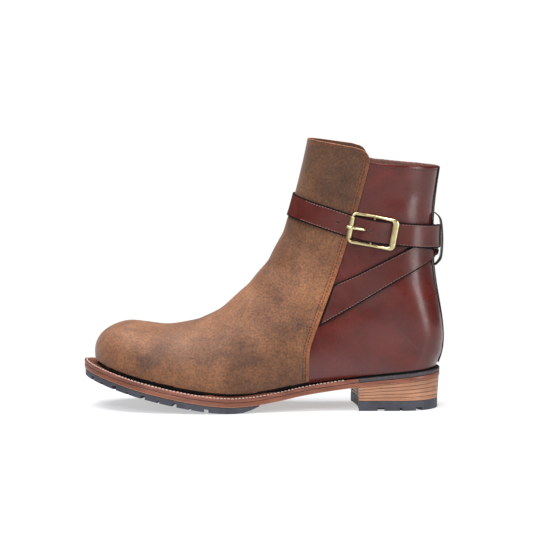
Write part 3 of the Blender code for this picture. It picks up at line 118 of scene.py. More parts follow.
# Sections through the last, as in the part's own source
Section = namedtuple("Section", "ridge_t ridge_z along rise back half lean widest full heel")
SECTIONS = (
    Section(0.0315, 0.180, 0.154, 0.000, 0.000, 0.405, 0.040, 0.06, 2.05, 2.10),
    Section(0.0300, 0.214, 0.157, 0.000, 0.000, 0.410, 0.040, 0.10, 2.05, 2.10),
    Section(0.0355, 0.246, 0.161, 0.000, 0.000, 0.413, 0.040, 0.14, 2.05, 2.10),
    Section(0.0530, 0.278, 0.167, 0.000, 0.000, 0.416, 0.042, 0.17, 2.05, 2.10),
    Section(0.0850, 0.304, 0.175, 0.000, 0.000, 0.420, 0.044, 0.19, 2.10, 2.10),
    Section(0.1240, 0.3175, 0.189, 0.000, 0.000, 0.426, 0.046, 0.21, 2.10, 2.10),
    Section(0.1710, 0.3130, 0.210, 0.000, 0.000, 0.434, 0.046, 0.23, 2.10, 2.10),
    Section(0.2270, 0.3050, 0.242, 0.000, 0.000, 0.443, 0.044, 0.25, 2.05, 2.10),
    Section(0.2830, 0.3130, 0.284, 0.000, 0.000, 0.450, 0.040, 0.26, 2.00, 2.10),
    Section(0.3370, 0.3330, 0.338, 0.000, 0.000, 0.446, 0.034, 0.27, 2.00, 2.10),
    Section(0.3850, 0.3660, 0.408, 0.000, 0.000, 0.425, 0.028, 0.27, 2.00, 2.10),
    Section(0.4240, 0.4100, 0.487, 0.000, 0.000, 0.396, 0.022, 0.28, 2.00, 2.10),
    Section(0.4640, 0.4620, 0.580, 0.000, 0.000, 0.367, 0.016, 0.30, 2.00, 2.10),
    Section(0.4970, 0.5110, 0.670, 0.000, 0.000, 0.346, 0.010, 0.32, 2.00, 2.10),
    Section(0.5210, 0.5570, 0.760, 0.000, 0.000, 0.332, 0.006, 0.34, 2.00, 2.10),
    Section(0.5410, 0.6030, 0.844, 0.000, 0.000, 0.325, 0.003, 0.36, 2.00, 2.20),
    Section(0.5540, 0.6400, 0.913, 0.000, 0.000, 0.321, 0.000, 0.38, 2.00, 2.50),
    Section(0.5640, 0.6700, 0.963, 0.000, 0.000, 0.319, 0.000, 0.40, 2.00, 2.80),
    Section(0.5715, 0.6980, 0.990, 0.000, 0.000, 0.318, 0.000, 0.42, 2.00, 3.10),
    Section(0.5775, 0.7230, 1.000, 0.000, 0.000, 0.318, 0.000, 0.44, 2.00, 3.20),
    Section(0.5835, 0.7480, 1.000, 0.058, 0.0165, 0.318, 0.000, 0.45, 2.00, 3.10),
    Section(0.5885, 0.7740, 1.000, 0.119, 0.0205, 0.316, 0.000, 0.46, 2.00, 2.90),
    Section(0.5935, 0.8000, 1.000, 0.188, 0.0150, 0.313, 0.000, 0.47, 2.00, 2.70),
    Section(0.5985, 0.8260, 1.000, 0.262, 0.0050, 0.310, 0.000, 0.48, 2.00, 2.50),
    Section(0.6035, 0.8530, 1.000, 0.336, -0.0055, 0.309, 0.000, 0.48, 2.00, 2.40),
    Section(0.6085, 0.8830, 1.000, 0.423, -0.0115, 0.311, 0.000, 0.49, 2.00, 2.30),
    Section(0.6140, 0.9140, 1.000, 0.511, -0.0125, 0.316, 0.000, 0.49, 2.00, 2.25),
    Section(0.6190, 0.9450, 1.000, 0.598, -0.0095, 0.322, 0.000, 0.50, 2.00, 2.20),
    Section(0.6240, 0.9780, 1.000, 0.677, -0.0020, 0.328, 0.000, 0.50, 2.00, 2.20),
    Section(0.6285, 1.0100, 1.000, 0.747, 0.0060, 0.334, 0.000, 0.50, 2.00, 2.20),
    Section(0.6330, 1.0420, 1.000, 0.817, 0.0140, 0.340, 0.000, 0.50, 2.00, 2.20),
)
HEEL_ROW = 19
COUNTER_ROW = 14
COUNTER_ROWS = 3
COUNTER_HEIGHT = 44 * MM
LAST_ROW = len(SECTIONS) - 1

# Rear edge of the vamp and its tall front flap, seen from the side
EdgeRow = namedtuple("EdgeRow", "along height")
FLAP_EDGE = (
    EdgeRow(0.6290, 0.0955),
    EdgeRow(0.6290, 0.150),
    EdgeRow(0.6300, 0.204),
    EdgeRow(0.6360, 0.247),
    EdgeRow(0.6510, 0.302),
    EdgeRow(0.6770, 0.393),
    EdgeRow(0.7030, 0.486),
    EdgeRow(0.7320, 0.605),
    EdgeRow(0.7560, 0.707),
    EdgeRow(0.7740, 0.795),
    EdgeRow(0.7880, 0.868),
    EdgeRow(0.7960, 0.912),
    EdgeRow(0.7955, 0.940),
    EdgeRow(0.7830, 0.962),
    EdgeRow(0.7550, 0.975),
)
FLAP_TOP = 0.9985
FLAP_CORNER = 11

# Top line of the hollow upper, seen from the side
COLLAR = (
    EdgeRow(0.600, 0.988),
    EdgeRow(0.660, 0.982),
    EdgeRow(0.720, 0.968),
    EdgeRow(0.760, 0.945),
    EdgeRow(0.795, 0.922),
    EdgeRow(0.850, 0.911),
    EdgeRow(0.930, 0.902),
    EdgeRow(1.030, 0.894),
)


# A strap's route over the upper, as in the part's own source
Stop = namedtuple("Stop", "side turn along height base straps width")
LONG_STRAP = (
    Stop("lateral", 0, 0.600, 0.344, "quarter", 0, 1.50),
    Stop("lateral", 0, 0.690, 0.400, "quarter", 0, 1.34),
    Stop("lateral", 0, 0.735, 0.432, "quarter", 0, 1.24),
    Stop("lateral", 0, 0.790, 0.471, "quarter", 0, 1.12),
    Stop("lateral", 0, 0.860, 0.521, "quarter", 0, 1.03),
    Stop("lateral", 0, 0.930, 0.572, "quarter", 0, 1.00),
    Stop("lateral", 0, 0.972, 0.604, "backstay", 0, 1.00),
    Stop("back", 0, 1.000, 0.624, "backstay", 0, 1.00),
    Stop("medial", -2, 0.972, 0.640, "backstay", 0, 1.00),
    Stop("medial", -2, 0.930, 0.664, "quarter", 0, 1.00),
    Stop("medial", -2, 0.860, 0.694, "quarter", 0, 1.00),
    Stop("medial", -2, 0.820, 0.709, "quarter", 0, 1.00),
    Stop("medial", -2, 0.776, 0.722, "vamp", 0, 1.00),
    Stop("medial", -2, 0.740, 0.732, "vamp", 0, 1.00),
    Stop("medial", -2, 0.680, 0.745, "vamp", 0, 1.00),
    Stop("front", -2, 0.600, 0.753, "vamp", 0, 1.00),
    Stop("lateral", -2, 0.640, 0.731, "vamp", 0, 1.00),
    Stop("lateral", -2, 0.690, 0.710, "vamp", 0, 1.00),
    Stop("lateral", -2, 0.735, 0.690, "vamp", 0, 1.00),
    Stop("lateral", -2, 0.8075, 0.666, "quarter", 1, 1.00),
    Stop("lateral", -2, 0.872, 0.655, "quarter", 1, 1.03),
    Stop("lateral", -2, 0.905, 0.650, "quarter", 2, 1.05),
    Stop("lateral", -2, 0.930, 0.646, "quarter", 2, 1.05),
    Stop("lateral", -2, 0.972, 0.640, "backstay", 2, 1.05),
    Stop("lateral", -2, 0.981, 0.639, "backstay", 2, 1.05),
)
BUCKLE_STRAP = (
    Stop("medial", 0, 0.600, 0.344, "quarter", 0, 1.50),
    Stop("medial", 0, 0.690, 0.400, "quarter", 0, 1.34),
    Stop("medial", 0, 0.735, 0.432, "quarter", 0, 1.24),
    Stop("medial", 0, 0.790, 0.471, "quarter", 0, 1.12),
    Stop("medial", 0, 0.860, 0.521, "quarter", 0, 1.03),
    Stop("medial", 0, 0.930, 0.572, "quarter", 1, 1.00),
    Stop("medial", 0, 0.972, 0.600, "backstay", 1, 1.00),
    Stop("back", 2, 1.000, 0.616, "backstay", 1, 1.00),
    Stop("lateral", 2, 0.972, 0.631, "backstay", 1, 1.00),
    Stop("lateral", 2, 0.930, 0.646, "quarter", 1, 1.00),
    Stop("lateral", 2, 0.905, 0.650, "quarter", 1, 1.00),
    Stop("lateral", 2, 0.872, 0.655, "quarter", 0, 1.00),
    Stop("lateral", 2, 0.8075, 0.666, "quarter", 0, 1.00),
    Stop("lateral", 2, 0.780, 0.674, "quarter", 0, 1.00),
)
STRAP_WIDTH = 19.5 * MM
STRAP_THICK = 1.6 * MM
STRAP_EASE = 0.6 * MM
STRAP_BUILD = 2.1 * MM
BACKSTAY_BUILD = 1.2 * MM
BUCKLE_STOP = 19
BUCKLE_HALF = 16 * MM
BAR_TOP = 4.3 * MM

# Holes in the long strap, as distances along it from the buckle's middle bar
HOLES = (-29 * MM, -1.3 * MM, 10.5 * MM)

# How far the straps' thread stops from the buckle, from the straps' ends and from the vamp's flap, and
# how far it lies in from a strap's edge
THREAD_TO_BUCKLE = 22 * MM
THREAD_FROM_BUCKLE = 21 * MM
THREAD_TO_TAIL = 4 * MM
THREAD_TO_FRAME = 26 * MM
THREAD_TO_FLAP = 2.2 * MM
THREAD_INSET = 1.6 * MM

# Rows of the tack on the vamp: from and to, along the boot and up, in metres
TACK_ROWS = (
    (0.1810, 0.0745, 0.1935, 0.0710),
    (0.1808, 0.0722, 0.1915, 0.0692),
)

# Rows of thread along the flap's edge: their distances from it, the step of the edge where they start,
# and the height over the vamp at which they are laid out
FLAP_ROWS = (3.0 * MM, 5.2 * MM)
FLAP_THREAD_FROM = 0.35
GUIDE_RISE = 0.12 * MM

# The row of thread under the collar: how far below it, where it starts behind the flap as a share of
# SOLE_LENGTH, and the share of the way round that it leaves to the backstay
COLLAR_INSET = 2.6 * MM
COLLAR_THREAD_FROM = 0.799
BACKSTAY_SHARE = 0.06

# How finely the leather is drawn: places round the boot, and rows up each part of it
UPPER_ROUND = 181
FOREFOOT_ROWS = 49
INSTEP_ROW = 12
INSTEP_ROWS = 57
LEG_ROWS = 90
VAMP_ROUND = 161
VAMP_FOOT_ROWS = 78
FLAP_SIDE_ROWS = 110
FLAP_TOP_ROWS = 42

# Height over the welt where the creases begin, and the further height at which they have their full depth
RELIEF_START = 4 * MM
UPPER_RELIEF_FADE = 10 * MM
VAMP_RELIEF_FADE = 12 * MM

# Heights of the painted black shade in the crevice above the welt, on the upper and on the vamp, and the
# rubbed band along the vamp's edges: its width, and the number of rows of the flap that are tried for the
# band along its top
UPPER_SHADE_HEIGHT = 1.6 * MM
VAMP_SHADE_HEIGHT = 3.6 * MM
RUBBED_WIDTH = 6.2 * MM
TOP_BAND_ROWS = 60

# Middle of the leg: share of SHAFT_HEIGHT, share of SOLE_LENGTH. Below the ankle, the middle of the foot
LEG_MIDDLE = ((0.35, 0.76), (0.55, 0.76), (0.75, 0.76), (1.00, 0.78))
ANKLE_LEVEL = 85 * MM
FOOT_MIDDLE = (60 * MM, 240 * MM)
FOOT_MIDDLE_LEVEL = 50 * MM

# Share of a plate's thickness by which its rim is drawn in
RIM_DRAW = 0.22

# Rounded edges of the pieces under the foot, the height of the tan line, and the welt's row of thread
OUTSOLE_BEVEL = 0.55 * MM
WELT_BEVEL = 0.5 * MM
LIFT_BEVEL = 0.28 * MM
TAN_EDGE_HEIGHT = 0.5 * MM
WELT_THREAD_INSET = 2.0 * MM
WELT_THREAD_ENDS = 6

# Light and camera
FILL_LIGHT = 0.28
MIRRORED_LIGHT = 0.07
CAMERA_RISE = math.radians(5.2)
PHOTO_PIXELS = 533
PIXEL_SIZE = 0.854 * MM
CAMERA_AWAY = 2.6
CAMERA_SENSOR = 36
CAMERA_TARGET = Vector((-0.1131, 0.0, 0.1196))


# Curves and the sole's outline

def smooth(x, xs, ys):
    """Cubic through the points (xs, ys), for an array of x."""
    x = np.atleast_1d(np.asarray(x, float))
    slopes = np.gradient(ys, xs)
    i = np.clip(np.searchsorted(xs, x) - 1, 0, len(xs) - 2)
    step = xs[i + 1] - xs[i]
    u = np.clip((x - xs[i]) / step, 0, 1)
    rise = u * u * (3 - 2 * u)
    start = u * (1 - u) ** 2
    finish = -u * u * (1 - u)
    return ys[i] + (ys[i + 1] - ys[i]) * rise + step * (slopes[i] * start + slopes[i + 1] * finish)


def columns(table):
    return [np.array(column, float) for column in zip(*table)]


def ease(x):
    x = np.clip(x, 0, 1)
    return x * x * (3 - 2 * x)


def units(vectors):
    """The same directions with a length of one."""
    return vectors / (np.linalg.norm(vectors, axis=-1)[..., None] + 1e-12)


def distances(line):
    """How far along a line each of its points lies."""
    return np.concatenate([[0], np.cumsum(np.linalg.norm(np.diff(line, axis=0), axis=1))])


def soften(line, passes):
    """Evens out a line in place, its two ends kept."""
    for _ in range(passes):
        line[1:-1] = (line[:-2] + 2 * line[1:-1] + line[2:]) / 4


def end_round(t):
    toe = np.maximum(0, 1 - t / (TOE_ROUND * SOLE_LENGTH))
    heel = np.maximum(0, 1 - (SOLE_LENGTH - t) / (HEEL_ROUND * SOLE_LENGTH))
    toe_share = np.maximum(0, 1 - toe**TOE_ROUND_POWER) ** (1 / TOE_ROUND_POWER)
    return toe_share * np.maximum(0, 1 - heel**HEEL_ROUND_POWER) ** (1 / HEEL_ROUND_POWER)


def sole_outline(side):
    along, middle, half = columns(PLAN)
    t = SOLE_LENGTH * (1 - np.cos(np.linspace(0, math.pi, 401))) / 2
    y = smooth(t / SOLE_LENGTH, along, middle) + side * smooth(t / SOLE_LENGTH, along, half) * end_round(t)
    return np.stack([t, y * BALL_WIDTH], axis=1)


def inset_outline(side, inset):
    """The sole's outline moved inwards by inset, a number or an array over its points."""
    line = sole_outline(side)
    tangent = units(np.gradient(line, axis=0))
    inward = np.stack([tangent[:, 1], -tangent[:, 0]], axis=1) * side
    depth = inset(line[:, 0]) if callable(inset) else np.full(len(line), inset)
    return line + inward * depth[:, None]


def underside(t):
    t = np.atleast_1d(np.asarray(t, float))
    tread = TREAD_AT * SOLE_LENGTH
    along, rise = columns(ARCH)
    spring = RUBBER_THICK + SPRING_RISE * np.maximum(0, (tread - t) / tread) ** SPRING_POWER
    arch = RUBBER_THICK + HEEL_RISE * smooth(t / SOLE_LENGTH, along, rise)
    return np.where(t < tread, spring, arch)


def welt_level(t):
    return underside(t) + OUTSOLE_THICK + GAP


def feather_level(t):
    return welt_level(t) + WELT_THICK + GAP


def welt_reach(t):
    along, reach = columns(REACH)
    return WELT_REACH * smooth(t / SOLE_LENGTH, along, reach)


FEATHER = {side: inset_outline(side, lambda t: welt_reach(t) + VAMP_BUILD) for side in (-1, 1)}
FIRST, LAST = FEATHER[1][0, 0], FEATHER[1][-1, 0]


def feather_span(t):
    lateral, medial = (np.interp(t, *FEATHER[side].T) for side in (-1, 1))
    inside = (t > FIRST) & (t < LAST)
    return (lateral + medial) / 2, np.where(inside, (medial - lateral) / 2, 0.0)


# The skin of the boot on a fine grid

def section_line(s, q):
    """Points of the upper's outer surface along one section."""
    rows = np.arange(len(SECTIONS), dtype=float)
    row = Section(*(float(smooth(s, rows, column)[0]) for column in SECTION_COLUMNS))
    rise = max(row.rise, 0.0)
    back = row.back if s > HEEL_ROW else 0.0
    foot_t = FIRST + (LAST - FIRST) * min(row.along, 1.0)
    middle, foot_half = (float(part) for part in feather_span(np.array(foot_t)))
    half = max(row.half * BALL_WIDTH, foot_half * 1.001)
    base = foot_half / half
    level = float(feather_level(foot_t)[0])
    end = np.array([foot_t + back * SOLE_LENGTH, level + rise * SHAFT_HEIGHT])
    ridge = np.array([row.ridge_t * SOLE_LENGTH, row.ridge_z * SHAFT_HEIGHT])
    ridge += (end - ridge) / np.linalg.norm(end - ridge) * VAMP_BUILD
    steps = np.linspace(0, math.pi / 2, 60)
    low = 1 - np.cos(steps)
    root = 1 - (1 - 1 / row.heel) * (1 - base)
    low_half = base + (1 - base) * np.maximum(0, 1 - (1 - low) ** row.heel) ** root
    high = row.widest + (1 - row.widest) * np.sin(steps[1:]) ** (2 / row.full)
    high_half = np.maximum(0, np.cos(steps[1:])) ** (2 / row.full)
    v = np.concatenate([low * row.widest, high])
    p = np.concatenate([low_half, high_half]) * half
    if s > COUNTER_ROW:
        t = end[0] + (ridge[0] - end[0]) * v
        height = rise * SHAFT_HEIGHT + (ridge[1] - end[1]) * v
        rises = SECTION_COLUMNS.rise[HEEL_ROW:] * SHAFT_HEIGHT
        backs = SECTION_COLUMNS.back[HEEL_ROW:] * SOLE_LENGTH
        plan = feather_span(t - np.interp(height, rises, backs))[1]
        p = p + (plan - p) * ease((s - COUNTER_ROW) / COUNTER_ROWS) * (1 - ease(height / COUNTER_HEIGHT))
    chord = np.linalg.norm(ridge - end)
    share = np.concatenate([[0], np.cumsum(np.hypot(np.diff(v) * chord, np.diff(p)))])
    share /= share[-1]
    at = np.where(q <= 1, q, 2 - q)
    side = np.where(q <= 1, -1, 1)
    v_at = np.interp(at, share, v)
    t = end[0] + (ridge[0] - end[0]) * v_at
    z = end[1] + (ridge[1] - end[1]) * v_at
    y = middle + (row.lean * BALL_WIDTH - middle) * v_at + side * np.interp(at, share, p)
    ring = (end, ridge, v, share)
    return np.stack([t, y, z], axis=1), ring


SECTION_COLUMNS = Section(*columns(SECTIONS))
S_STEP = 0.05
Q_STEP = 0.01

# Grid points from a point to those that give its normal, and the first row searched for a height
NORMAL_REACH = 2
LEG_SEARCH_ROW = HEEL_ROW - 6

# Shares of a section near the sole: where its normal lies level, and where the normal is held
FOOT_SHARE = 0.08
HELD_SHARE = 0.04
S_GRID = np.arange(0, LAST_ROW + S_STEP / 2, S_STEP)
Q_GRID = np.arange(0, 2 + Q_STEP / 2, Q_STEP)
RINGS = []
SKIN = []
for s_at in S_GRID:
    points, ring = section_line(s_at, Q_GRID)
    SKIN.append(points)
    RINGS.append(ring)
SKIN = np.array(SKIN)


def beside(count, closed):
    """Indices a little before and a little after each of count places on a line or a ring."""
    at = np.arange(count)
    if closed:
        return (at - NORMAL_REACH) % (count - 1), (at + NORMAL_REACH) % (count - 1)
    return np.clip(at - NORMAL_REACH, 0, None), np.clip(at + NORMAL_REACH, None, count - 1)


NORMALS = np.empty_like(SKIN)
for i, (low, high) in enumerate(zip(*beside(len(S_GRID), False))):
    before, after = beside(len(Q_GRID), S_GRID[i] >= HEEL_ROW)
    NORMALS[i] = np.cross(SKIN[high] - SKIN[low], SKIN[i][after] - SKIN[i][before])
NORMALS = units(NORMALS)


def once_round(q):
    return np.where((q >= 0) & (q <= 2), q, q % 2)


def lookup(grid, s, q):
    """Values of a grid over (s, q) between its points."""
    a = np.clip(s / S_STEP, 0, len(S_GRID) - 1.001)
    b = np.clip(q / Q_STEP, 0, len(Q_GRID) - 1.001)
    i, j = a.astype(int), b.astype(int)
    u, w = (a - i)[..., None], (b - j)[..., None]
    near = grid[i, j] * (1 - w) + grid[i, j + 1] * w
    far = grid[i + 1, j] * (1 - w) + grid[i + 1, j + 1] * w
    return near * (1 - u) + far * u


def skin(s, q):
    s, q = np.broadcast_arrays(np.asarray(s, float), np.asarray(q, float))
    return lookup(SKIN, s, once_round(q))


def outward(s, q):
    """The skin's normal, laid level where a section of the foot meets the sole."""
    s, q = np.broadcast_arrays(np.asarray(s, float), np.asarray(q, float))
    q = once_round(q)
    open_row = s < HEEL_ROW
    upright = np.where(open_row, np.clip(np.minimum(np.minimum(q, 2 - q) / FOOT_SHARE, s * 2), 0, 1), 1.0)
    near = np.where(open_row, np.clip(q, HELD_SHARE, 2 - HELD_SHARE), q)
    normal = lookup(NORMALS, s, near)
    normal[..., 2] *= upright
    return units(normal)


def on_skin(s, q, height):
    return skin(s, q) + outward(s, q) * np.asarray(height)[..., None]


def locate(t, z):
    """Row and share of the section that passes through a point seen from the side."""
    low, high = 0, len(S_GRID) - 1
    target = np.array([t, z])

    def behind(i):
        end, ridge = RINGS[i][:2]
        chord, reach = ridge - end, target - end
        return chord[0] * reach[1] - chord[1] * reach[0]

    while high - low > 1:
        i = (low + high) // 2
        low, high = (i, high) if behind(i) < 0 else (low, i)
    a, b = behind(low), behind(high)
    u = min(max(a / (a - b), 0), 1) if a != b else 0.0
    found = []
    for i in (low, high):
        end, ridge, v, share = RINGS[i]
        chord = ridge - end
        at = float(np.clip(np.dot(target - end, chord) / np.dot(chord, chord), 0, 1))
        found.append(float(np.interp(at, v, share)))
    return S_GRID[low] + u * S_STEP, found[0] * (1 - u) + found[1] * u


def row_at_height(q, height):
    """Row of the leg where the surface reaches height(t) at q."""
    line = SKIN[:, int(round(once_round(np.array(q)) / Q_STEP))]
    over = line[:, 2] - height(line[:, 0])
    first = int(LEG_SEARCH_ROW / S_STEP)
    i = first + int(np.argmax(over[first:] > 0))
    return S_GRID[i - 1] + S_STEP * over[i - 1] / (over[i - 1] - over[i])


def collar(t):
    along, height = columns(COLLAR)
    return SHAFT_HEIGHT * smooth(t / SOLE_LENGTH, along, height)


def to_world(points):
    moved = np.array(points, float)
    moved[..., 0] -= HEEL_CENTRE
    return moved


# Meshes

def linked(name, data):
    """A new object in the scene."""
    made = bpy.data.objects.new(name, data)
    bpy.context.scene.collection.objects.link(made)
    return made


def piece(name, points, faces, surface, smooth_degrees, nodes=()):
    """A mesh piece that rides on the boot."""
    mesh = bpy.data.meshes.new(name)
    mesh.from_pydata([tuple(p) for p in np.asarray(points).reshape(-1, 3)], [], faces)
    mesh.validate()
    builder = bmesh.new()
    builder.from_mesh(mesh)
    bmesh.ops.remove_doubles(builder, verts=builder.verts, dist=1e-6)
    bmesh.ops.recalc_face_normals(builder, faces=builder.faces)
    builder.to_mesh(mesh)
    builder.free()
    mesh.shade_smooth()
    mesh.set_sharp_from_angle(angle=math.radians(smooth_degrees))
    made = linked(name, mesh)
    made.data.materials.append(surface)
    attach(made, "root")
    if nodes:
        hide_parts(*nodes)
    return made


def grid_faces(rows, count, closed_columns=False, start=0):
    """Four-sided faces over a grid of points, whose rows can be closed rings."""
    faces = []
    for i in range(rows - 1):
        low, high = start + i * count, start + (i + 1) * count
        for j in range(count if closed_columns else count - 1):
            after = (j + 1) % count
            faces.append((low + j, low + after, high + after, high + j))
    return faces


def rim_of(rows, count):
    """Indices round the border of a grid, once round."""
    top = list(range(count))
    right = [i * count + count - 1 for i in range(1, rows)]
    bottom = [(rows - 1) * count + j for j in range(count - 2, -1, -1)]
    left = [i * count for i in range(rows - 2, 0, -1)]
    return top + right + bottom + left


def plate(outer, inner, round_by):
    """A wall between two open grids, with a rounded rim."""
    rows, count = outer.shape[:2]
    shift = rows * count
    points = np.concatenate([outer.reshape(-1, 3), inner.reshape(-1, 3)])
    faces = grid_faces(rows, count) + [face[::-1] for face in grid_faces(rows, count, start=shift)]
    rim = rim_of(rows, count)
    flat = outer.reshape(-1, 3)
    tangent = flat[np.roll(rim, -1)] - flat[np.roll(rim, 1)]
    across = flat[rim] - inner.reshape(-1, 3)[rim]
    out = units(np.cross(tangent, across))
    centre = flat.mean(0)
    sign = np.sign(np.sum(out * (flat[rim] - centre), axis=1).sum())
    high = flat[rim] + out * sign * round_by - across * RIM_DRAW
    low = inner.reshape(-1, 3)[rim] + out * sign * round_by + across * RIM_DRAW
    start = len(points)
    points = np.concatenate([points, high, low])
    n = len(rim)
    for k in range(n):
        m = (k + 1) % n
        faces.append((rim[k], rim[m], start + m, start + k))
        faces.append((start + k, start + m, start + n + m, start + n + k))
        faces.append((start + n + k, start + n + m, shift + rim[m], shift + rim[k]))
    return points, faces


def layer(name, loop, low, high, bevel, surface, nodes=()):
    """A flat layer with a rounded edge. loop is its closed outline, low and high its heights."""
    count = len(loop)
    tangent = np.roll(loop, -1, 0) - np.roll(loop, 1, 0)
    inward = units(np.stack([-tangent[:, 1], tangent[:, 0]], axis=1))
    area = np.sum(loop[:, 0] * np.roll(loop[:, 1], -1) - np.roll(loop[:, 0], -1) * loop[:, 1])
    inward *= np.sign(area)
    corner = bevel * 0.3
    below = ((bevel, low), (corner, low + corner), (0, low + bevel), (0, low + bevel * 2))
    above = ((0, high - bevel), (corner, high - corner), (bevel, high))
    rings = [np.column_stack([loop + inward * inset, level]) for inset, level in below + above]
    points = to_world(np.array(rings))
    faces = grid_faces(len(rings), count, closed_columns=True)
    last = (len(rings) - 1) * count
    faces.append(tuple(range(count))[::-1])
    faces.append(tuple(range(last, last + count)))
    return piece(name, points, faces, surface, 40, nodes)


def resample(line, count):
    length = distances(line)
    at = np.linspace(0, length[-1], count)
    return np.stack([np.interp(at, length, column) for column in line.T], axis=1)


def part_line(line, first, last):
    """The stretch of a plan line from first to last along the boot."""
    inner = line[(line[:, 0] > first) & (line[:, 0] < last)]
    ends = [np.array([[t, np.interp(t, line[:, 0], line[:, 1])]]) for t in (first, last)]
    head = [ends[0]] if line[0, 0] < first else [line[:1]]
    tail = [ends[1]] if line[-1, 0] > last else [line[-1:]]
    return np.concatenate(head + [inner] + tail)


def sweep(name, rows, surface, nodes):
    """A bar through rows of closed sections, capped at both ends."""
    rows = np.array(rows)
    count = rows.shape[1]
    faces = grid_faces(len(rows), count, closed_columns=True)
    faces.append(tuple(range(count)))
    last = (len(rows) - 1) * count
    faces.append(tuple(range(last, last + count))[::-1])
    return piece(name, to_world(rows), faces, surface, 40, nodes)


# Materials

def node_tree(name):
    made = bpy.data.materials.new(name)
    made.use_nodes = True
    tree = made.node_tree
    return made, tree, tree.nodes["Principled BSDF"]


def set_inputs(node, values):
    for name, value in values.items():
        node.inputs[name].default_value = value


def noise(tree, scale, detail=4.0, rough=0.55, stretch=None, distortion=0.0):
    """A noise texture over the object's own coordinates, in metres."""
    place = tree.nodes.new("ShaderNodeTexCoord")
    made = tree.nodes.new("ShaderNodeTexNoise")
    set_inputs(made, {"Scale": scale, "Detail": detail, "Roughness": rough, "Distortion": distortion})
    source = place.outputs["Object"]
    if stretch:
        mapping = tree.nodes.new("ShaderNodeMapping")
        mapping.inputs["Scale"].default_value = stretch
        tree.links.new(source, mapping.inputs["Vector"])
        source = mapping.outputs["Vector"]
    tree.links.new(source, made.inputs["Vector"])
    return made.outputs["Fac"]


def ramp(tree, source, stops):
    """A colour ramp over source: its stops are places with a colour or a grey value."""
    made = tree.nodes.new("ShaderNodeValToRGB")
    band = made.color_ramp
    while len(band.elements) < len(stops):
        band.elements.new(0.5)
    for element, (at, color) in zip(band.elements, stops):
        element.position = at
        element.color = (*color, 1) if isinstance(color, tuple) else (color, color, color, 1)
    tree.links.new(source, made.inputs["Fac"])
    return made.outputs["Color"]


def mix(tree, kind, share, first, second):
    """Two colours mixed: share, first and second are values or sockets."""
    made = tree.nodes.new("ShaderNodeMix")
    made.data_type = "RGBA"
    made.blend_type = kind
    if isinstance(share, float):
        made.inputs["Factor"].default_value = share
    else:
        tree.links.new(share, made.inputs["Factor"])
    for name, value in (("A", first), ("B", second)):
        socket = [i for i in made.inputs if i.name == name and i.type == "RGBA"][0]
        if isinstance(value, tuple):
            socket.default_value = (*value, 1)
        else:
            tree.links.new(value, socket)
    return [o for o in made.outputs if o.type == "RGBA"][0]


def vary(tree, shader, name, scale, detail, low, high):
    """Noise in one input of a shader: low and high are places on the ramp with their values."""
    tree.links.new(ramp(tree, noise(tree, scale, detail), [low, high]), shader.inputs[name])


def bump(tree, shader, layers):
    """Bumps one over another: (height, strength, depth in metres)."""
    last = None
    for height, strength, depth in layers:
        made = tree.nodes.new("ShaderNodeBump")
        set_inputs(made, {"Strength": strength, "Distance": depth})
        tree.links.new(height, made.inputs["Height"])
        if last:
            tree.links.new(last, made.inputs["Normal"])
        last = made.outputs["Normal"]
    tree.links.new(last, shader.inputs["Normal"])


def nubuck(name="waxed nubuck", tint=(1.0, 1.0, 1.0)):
    """Waxed brown nubuck: mottled, with dark smudges and a fine nap, and painted light and shade: lightest
    about the toe, darker low towards the heel and up the flap.
    """
    made, tree, shader = node_tree(name)
    browns = [(0.30, (0.085, 0.033, 0.016)), (0.50, (0.165, 0.067, 0.029)), (0.72, (0.245, 0.104, 0.045))]
    cloud = ramp(tree, noise(tree, 26, 5, 0.62, distortion=0.3), browns)
    fleck = ramp(tree, noise(tree, 620, 3, 0.6), [(0.34, 0.55), (0.66, 1.25)])
    color = mix(tree, "MULTIPLY", 0.9, cloud, fleck)
    # Painted light and shade: the colour is multiplied by a ramp over height and place along the boot,
    # lighter about the toe and darker up the flap.
    place = tree.nodes.new("ShaderNodeTexCoord")
    level = tree.nodes.new("ShaderNodeVectorMath")
    level.operation = "DOT_PRODUCT"
    level.inputs[1].default_value = (-0.9, 0, 3.2)
    tree.links.new(place.outputs["Object"], level.inputs[0])
    painted_light_by_height = [(0.12, 0.72), (0.38, 1.05), (0.45, 0.95), (0.62, 0.58), (0.85, 0.34)]
    color = mix(tree, "MULTIPLY", 1.0, color, ramp(tree, level.outputs["Value"], painted_light_by_height))
    smudge = ramp(tree, noise(tree, 60, 4, 0.6), [(0.56, 0.0), (0.75, 0.55)])
    color = mix(tree, "MIX", smudge, color, (0.050, 0.022, 0.017))
    color = mix(tree, "MULTIPLY", 1.0, color, tint)
    tree.links.new(color, shader.inputs["Base Color"])
    vary(tree, shader, "Roughness", 45, 3, (0.3, 0.52), (0.7, 0.70))
    set_inputs(shader, {"Sheen Weight": 0.22, "Sheen Roughness": 0.45, "Sheen Tint": (1.0, 0.80, 0.74, 1),
                        "Specular IOR Level": 0.3})
    bump(tree, shader, [(noise(tree, 900, 3, 0.6), 0.35, 0.0003), (noise(tree, 90, 3), 0.25, 0.0008)])
    return made


def calf(name, color, deep, roughness=0.24, grain=0.16):
    """Smooth polished calf with a very fine grain and soft cloudy colour."""
    made, tree, shader = node_tree(name)
    tone = ramp(tree, noise(tree, 34, 4, 0.6, distortion=0.4), [(0.32, deep), (0.68, color)])
    fine = ramp(tree, noise(tree, 700, 2), [(0.3, 0.82), (0.7, 1.12)])
    tree.links.new(mix(tree, "MULTIPLY", 0.7, tone, fine), shader.inputs["Base Color"])
    vary(tree, shader, "Roughness", 120, 4, (0.3, roughness), (0.75, roughness + 0.16))
    set_inputs(shader, {"Specular IOR Level": 0.42, "Coat Weight": 0.22, "Coat Roughness": 0.16})
    bump(tree, shader, [(noise(tree, 1100, 3, 0.6), grain, 0.0002), (noise(tree, 70, 3), 0.16, 0.0008)])
    return made


